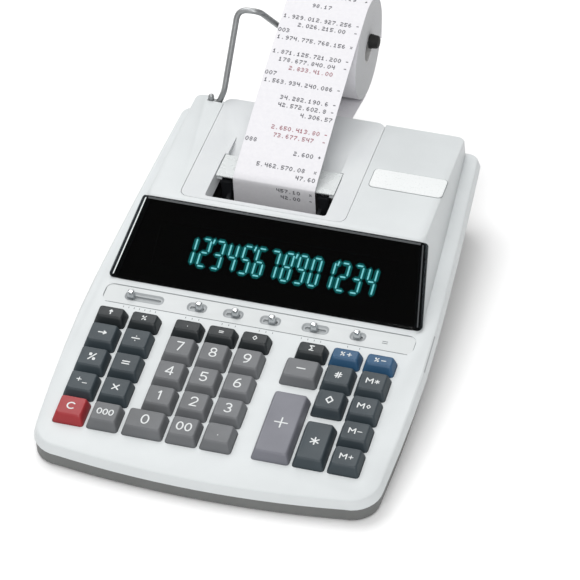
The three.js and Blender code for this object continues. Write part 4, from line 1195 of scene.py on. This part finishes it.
# The strip is in two pieces, which meet in a bare row.
ROW_PITCH, CHAR_PITCH = 5.92, 2.85
FIRST_ROW, BARE_ROW = 13.3, 20
STRIP_PATH = strip_path()
CREASE, LANDING = STRIP_PATH[CLIMB_STEPS], STRIP_PATH[CLIMB_STEPS + 1 + BOW_STEPS]
STRIP_LENGTHS = [0.0]
for before, after in zip(STRIP_PATH, STRIP_PATH[1:]):
    STRIP_LENGTHS.append(STRIP_LENGTHS[-1] + (after - before).length)
SEAM_LENGTH = FIRST_ROW + BARE_ROW * ROW_PITCH
SEAM = next(i for i, length in enumerate(STRIP_LENGTHS) if length > SEAM_LENGTH)
strip = paper_sheet("printed_strip", STRIP_PATH[: SEAM + 1], "paper_strip")
draped = paper_sheet("draped_strip", STRIP_PATH[SEAM:], "paper_strip")
web = paper_sheet("supply_web", web_path(), "paper_web")


# What is printed on the strip: rows of dots from a small dot-matrix alphabet of digits
DOT_SIGNS = {
    "0": "0110 1001 1001 1001 0110",
    "1": "0100 1100 0100 0100 1110",
    "2": "1110 0001 0110 1000 1111",
    "3": "1110 0001 0110 0001 1110",
    "4": "1001 1001 1111 0001 0001",
    "5": "1111 1000 1110 0001 1110",
    "6": "0110 1000 1110 1001 0110",
    "7": "1111 0001 0010 0100 0100",
    "8": "0110 1001 0110 1001 0110",
    "9": "0110 1001 0111 0001 0110",
    ".": "0000 0000 0000 0000 0100",
    "+": "0000 0100 1110 0100 0000",
    "-": "0000 0000 1110 0000 0000",
    "*": "0000 1010 0100 1010 0000",
    " ": "0000 0000 0000 0000 0000",
}
# Rows from the platen up, with red ones and ones at the left edge given by their places
PRINTED_ROWS = [
    "42.00  -",
    "457.10  *",
    "",
    "47.60",
    "5.462.570.08  *",
    "",
    "2.600 +",
    "088",
    "73.677.547  -",
    "2.650.413.80 -",
    "",
    "4.306.57",
    "42.572.602.8 -",
    "34.282.190.6 -",
    "",
    "1.563.934.240.086 -",
    "007",
    "2.833.41.00   ",
    "178.677.840.04  -",
    "1.871.125.721.200 -",
    "",
    "1.974.775.768.156 *",
    "003",
    "2.026.215.00  -",
    "1.929.012.927.256 -",
    "",
    "98.17        ",
    "",
    "405.320.19  +",
    "9.99  +",
]
RED_ROWS, LEFT_ROWS = [8, 9, 17], [7, 16, 22]
BLACK_ROWS = [row for row in range(BARE_ROW) if row not in RED_ROWS]
ROW_END, LEFT_END = PAPER_RIGHT - 1.2, PAPER_LEFT + 9.2
DOT_ACROSS, DOT_ALONG, DOT_WIDE, DOT_LONG = 0.52, 0.64, 0.62, 0.74
DOT_LIFTS = (PAPER_THICK / 2 + 0.005, PAPER_THICK / 2 + 0.03)
DOT_CORNERS = ((0, 0), (1, 0), (1, 1), (0, 1))


def on_strip(x, along, lift):
    """A point over the strip's upper face, by its place across and along the paper."""
    along = min(max(along, 0.0), STRIP_LENGTHS[-1] - 0.01)
    i = max(k for k, length in enumerate(STRIP_LENGTHS) if length <= along)
    a, b = STRIP_PATH[i], STRIP_PATH[i + 1]
    t = (along - STRIP_LENGTHS[i]) / (STRIP_LENGTHS[i + 1] - STRIP_LENGTHS[i])
    run = (b - a).normalized()
    return (x, *(a.lerp(b, t) + Vector((-run.y, run.x)) * lift))


def row_dots(row):
    """Places of a row's dots, across and along the paper, from its last sign to its first."""
    end = LEFT_END if row in LEFT_ROWS else ROW_END
    for place, sign in enumerate(reversed(PRINTED_ROWS[row])):
        left = end - (place + 1) * CHAR_PITCH
        for line, dots in enumerate(DOT_SIGNS[sign].split()):
            for column, dot in enumerate(dots):
                if dot == "1":
                    along = FIRST_ROW + row * ROW_PITCH + (4 - line) * DOT_ALONG
                    yield left + column * DOT_ACROSS, along


def printed_dots(name, finish, rows):
    """Rows of dots, each dot a thin solid that bends with the paper."""
    points, faces = [], []
    for row in rows:
        for x, along in row_dots(row):
            faces += prism_faces(len(points), len(DOT_CORNERS))
            for lift in DOT_LIFTS:
                for u, v in DOT_CORNERS:
                    points.append(on_strip(x + u * DOT_WIDE, along + v * DOT_LONG, lift))
    return add_piece(name, mesh_from(points, faces), None, finish)


dots_black = printed_dots("printed_figures", INK_BLACK, BLACK_ROWS)
dots_red = printed_dots("printed_figures_red", INK_RED, RED_ROWS)
high_rows = range(BARE_ROW, len(PRINTED_ROWS))
dots_draped = printed_dots("printed_figures_draped", INK_BLACK, high_rows)


# Points of the paper near the joints: before the crease, at the seam and the landing, and along
# the web's bend. Each is turned to metres but not used, and each sheet's place is then baked into
# its mesh.
LIFT_TURN, LIFT_RUN = math.radians(55), 19.5
LIFT_START = CREASE - Vector((-math.cos(LIFT_TURN), math.sin(LIFT_TURN))) * LIFT_RUN
WEB_BEND = 18


def in_scene(point):
    """A point of the paper's plane in metres."""
    return tuple(TABLE @ Vector((0, *point)))


for sheet in (strip, dots_black, dots_red):
    in_scene(LIFT_START)
    in_scene(CREASE)
    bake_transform(sheet)
for sheet in (draped, dots_draped):
    in_scene(STRIP_PATH[SEAM])
    in_scene(LANDING)
    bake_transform(sheet)
bend_start, bend_end = ((COVER_REAR + run, DOOR_UP) for run in (0, WEB_BEND))
in_scene(bend_start)
in_scene(bend_end)
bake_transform(web)


# Tear bar with its row of teeth


BAR_INSET, BAR_SLOPE = 0.9, 0.6
TOOTH_HALF, TOOTH_DEEP, TOOTH_PITCH, TOOTH_MARGIN = 0.55, 0.9, 1.15, 0.8
TOOTH_SINK, TOOTH_ROOT, TIP_DROP = 0.02, 0.3, 0.05


def toothed_bar():
    low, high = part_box("tear_bar")
    left, right = low.x / MM, high.x / MM
    top, bottom = high.z / MM, low.z / MM
    front, back = TEAR_FRONT + BAR_INSET, TEAR_FRONT + TEAR_DEPTH
    section = [(front, top), (front + BAR_SLOPE, bottom), (back, bottom), (back, top)]
    bar = outward(lofted([[(x, *corner) for corner in section] for x in (left, right)]))
    tooth = mesh_from(
        [
            (-TOOTH_HALF, front + TOOTH_SINK, top),
            (TOOTH_HALF, front + TOOTH_SINK, top),
            (0, TEAR_FRONT, top - TIP_DROP),
            (-TOOTH_HALF, front + TOOTH_ROOT, top - TOOTH_DEEP),
            (TOOTH_HALF, front + TOOTH_ROOT, top - TOOTH_DEEP),
        ],
        [(0, 1, 2), (0, 1, 4, 3), (4, 3, 2), (0, 2, 3), (1, 4, 2)],
    )
    add_piece("tear_plate", bar, "cover", STYRENE, "tear_clear", ["tear_bar"], 0.15)
    first, last = left + TOOTH_MARGIN, right - TOOTH_MARGIN
    row_of("tear_teeth", outward(tooth), STYRENE, first, last, TOOTH_PITCH)


def row_of(name, shape, finish, first, last, pitch):
    """Repeats a small shape along X with a Geometry Nodes tree, then keeps the plain result as a
    piece of the cover."""
    tree = bpy.data.node_groups.new(f"{name}_row", "GeometryNodeTree")
    face = tree.interface
    face.new_socket("Geometry", in_out="INPUT", socket_type="NodeSocketGeometry")
    sizes = {}
    for label, kind in (("First", "Float"), ("Last", "Float"), ("Count", "Int")):
        sizes[label] = face.new_socket(label, in_out="INPUT", socket_type=f"NodeSocket{kind}")
    face.new_socket("Geometry", in_out="OUTPUT", socket_type="NodeSocketGeometry")
    entry = node(tree, "NodeGroupInput")
    low = node(tree, "ShaderNodeCombineXYZ", links={"X": (entry, "First")})
    high = node(tree, "ShaderNodeCombineXYZ", links={"X": (entry, "Last")})
    line = node(
        tree,
        "GeometryNodeMeshLine",
        {"mode": "END_POINTS"},
        {"Count": (entry, "Count"), "Start Location": (low, 0), "Offset": (high, 0)},
    )
    spread = {"Points": (line, 0), "Instance": (entry, "Geometry")}
    teeth = node(tree, "GeometryNodeInstanceOnPoints", links=spread)
    real = node(tree, "GeometryNodeRealizeInstances", links={"Geometry": (teeth, 0)})
    painted = node(tree, "GeometryNodeSetMaterial", {"Material": finish}, {"Geometry": (real, 0)})
    node(tree, "NodeGroupOutput", links={"Geometry": (painted, 0)})
    source = show(f"{name}_source", shape)
    repeat = source.modifiers.new("row", "NODES")
    repeat.node_group = tree
    repeat[sizes["First"].identifier] = first * MM
    repeat[sizes["Last"].identifier] = last * MM
    repeat[sizes["Count"].identifier] = round((last - first) / pitch) + 1
    bpy.context.view_layer.update()
    evaluated = source.evaluated_get(bpy.context.evaluated_depsgraph_get())
    result = bpy.data.meshes.new_from_object(evaluated)
    bpy.data.objects.remove(source)
    add_piece(name, result, "cover", finish, "tear_clear")


toothed_bar()


# Bare name plate on the top, whiter than the case


PLATE_LEFT, PLATE_RIGHT = 45.0, 95.3
PLATE_FRONT, PLATE_BACK = 257.0 * math.cos(TILT) - 3.0, 276.6 * math.cos(TILT) - 2.4
PLATE_CORNER, PLATE_STEPS = 3.0, 8
# Inset and height over the top, from the plate's foot to its face
PLATE_RINGS = [(0, -0.3), (0, 0.25), (0.25, 0.5)]


def name_plate():
    middle = ((PLATE_LEFT + PLATE_RIGHT) / 2, (PLATE_FRONT + PLATE_BACK) / 2)
    width, depth = PLATE_RIGHT - PLATE_LEFT, PLATE_BACK - PLATE_FRONT
    ring = plate(width, depth, PLATE_CORNER, middle, PLATE_STEPS)
    mesh = lofted([ring(inset, TOP_HEIGHT + up) for inset, up in PLATE_RINGS])
    add_piece("name_plate", mesh, "case", NAME_PLATE)
    # A thin line of painted shadow round the plate's foot
    seam("name_plate_seam", ring, 0, -0.45, TOP_HEIGHT + 0.01, TOP_HEIGHT + 0.08, TABLE)


name_plate()


# Floor and light


FLOOR_REACH = 9000
# Place, height aimed at, width and depth, and power of each lamp
LAMPS = {
    "key_light": ((-1.0, 0.75, 2.5), 0.03, (2.2, 1.6), 40),
    "back_light": ((-0.3, 2.2, 1.9), 0.05, (2.4, 1.0), 10),
    "front_light": ((0.4, -2.0, 2.1), 0.05, (1.6, 0.8), 37),
}
WORLD_LEVEL = 0.43


def stage():
    low, high = -FLOOR_REACH, FLOOR_REACH
    corners = [(low, low, 0), (high, low, 0), (high, high, 0), (low, high, 0)]
    floor = mesh_from(corners, [(0, 1, 2, 3)])
    matt = {"Base Color": linear("#ffffff"), "Roughness": 0.9}
    floor.materials.append(plain_finish("studio_floor", matt))
    show("floor", floor)


def soft_light(name, place, aim, size, power):
    data = bpy.data.lights.new(name, "AREA")
    data.shape = "RECTANGLE"
    data.size, data.size_y = size
    data.energy = power
    made = show(name, data)
    made.location = place
    towards = Vector((0, 0, aim)) - Vector(place)
    made.rotation_euler = towards.to_track_quat("-Z", "Y").to_euler()


def studio():
    stage()
    for name, lamp in LAMPS.items():
        soft_light(name, *lamp)
    world = bpy.data.worlds.new("studio_world")
    world.use_nodes = True
    background = world.node_tree.nodes["Background"]
    background.inputs["Color"].default_value = (1, 1, 1, 1)
    background.inputs["Strength"].default_value = WORLD_LEVEL
    bpy.context.scene.world = world


studio()
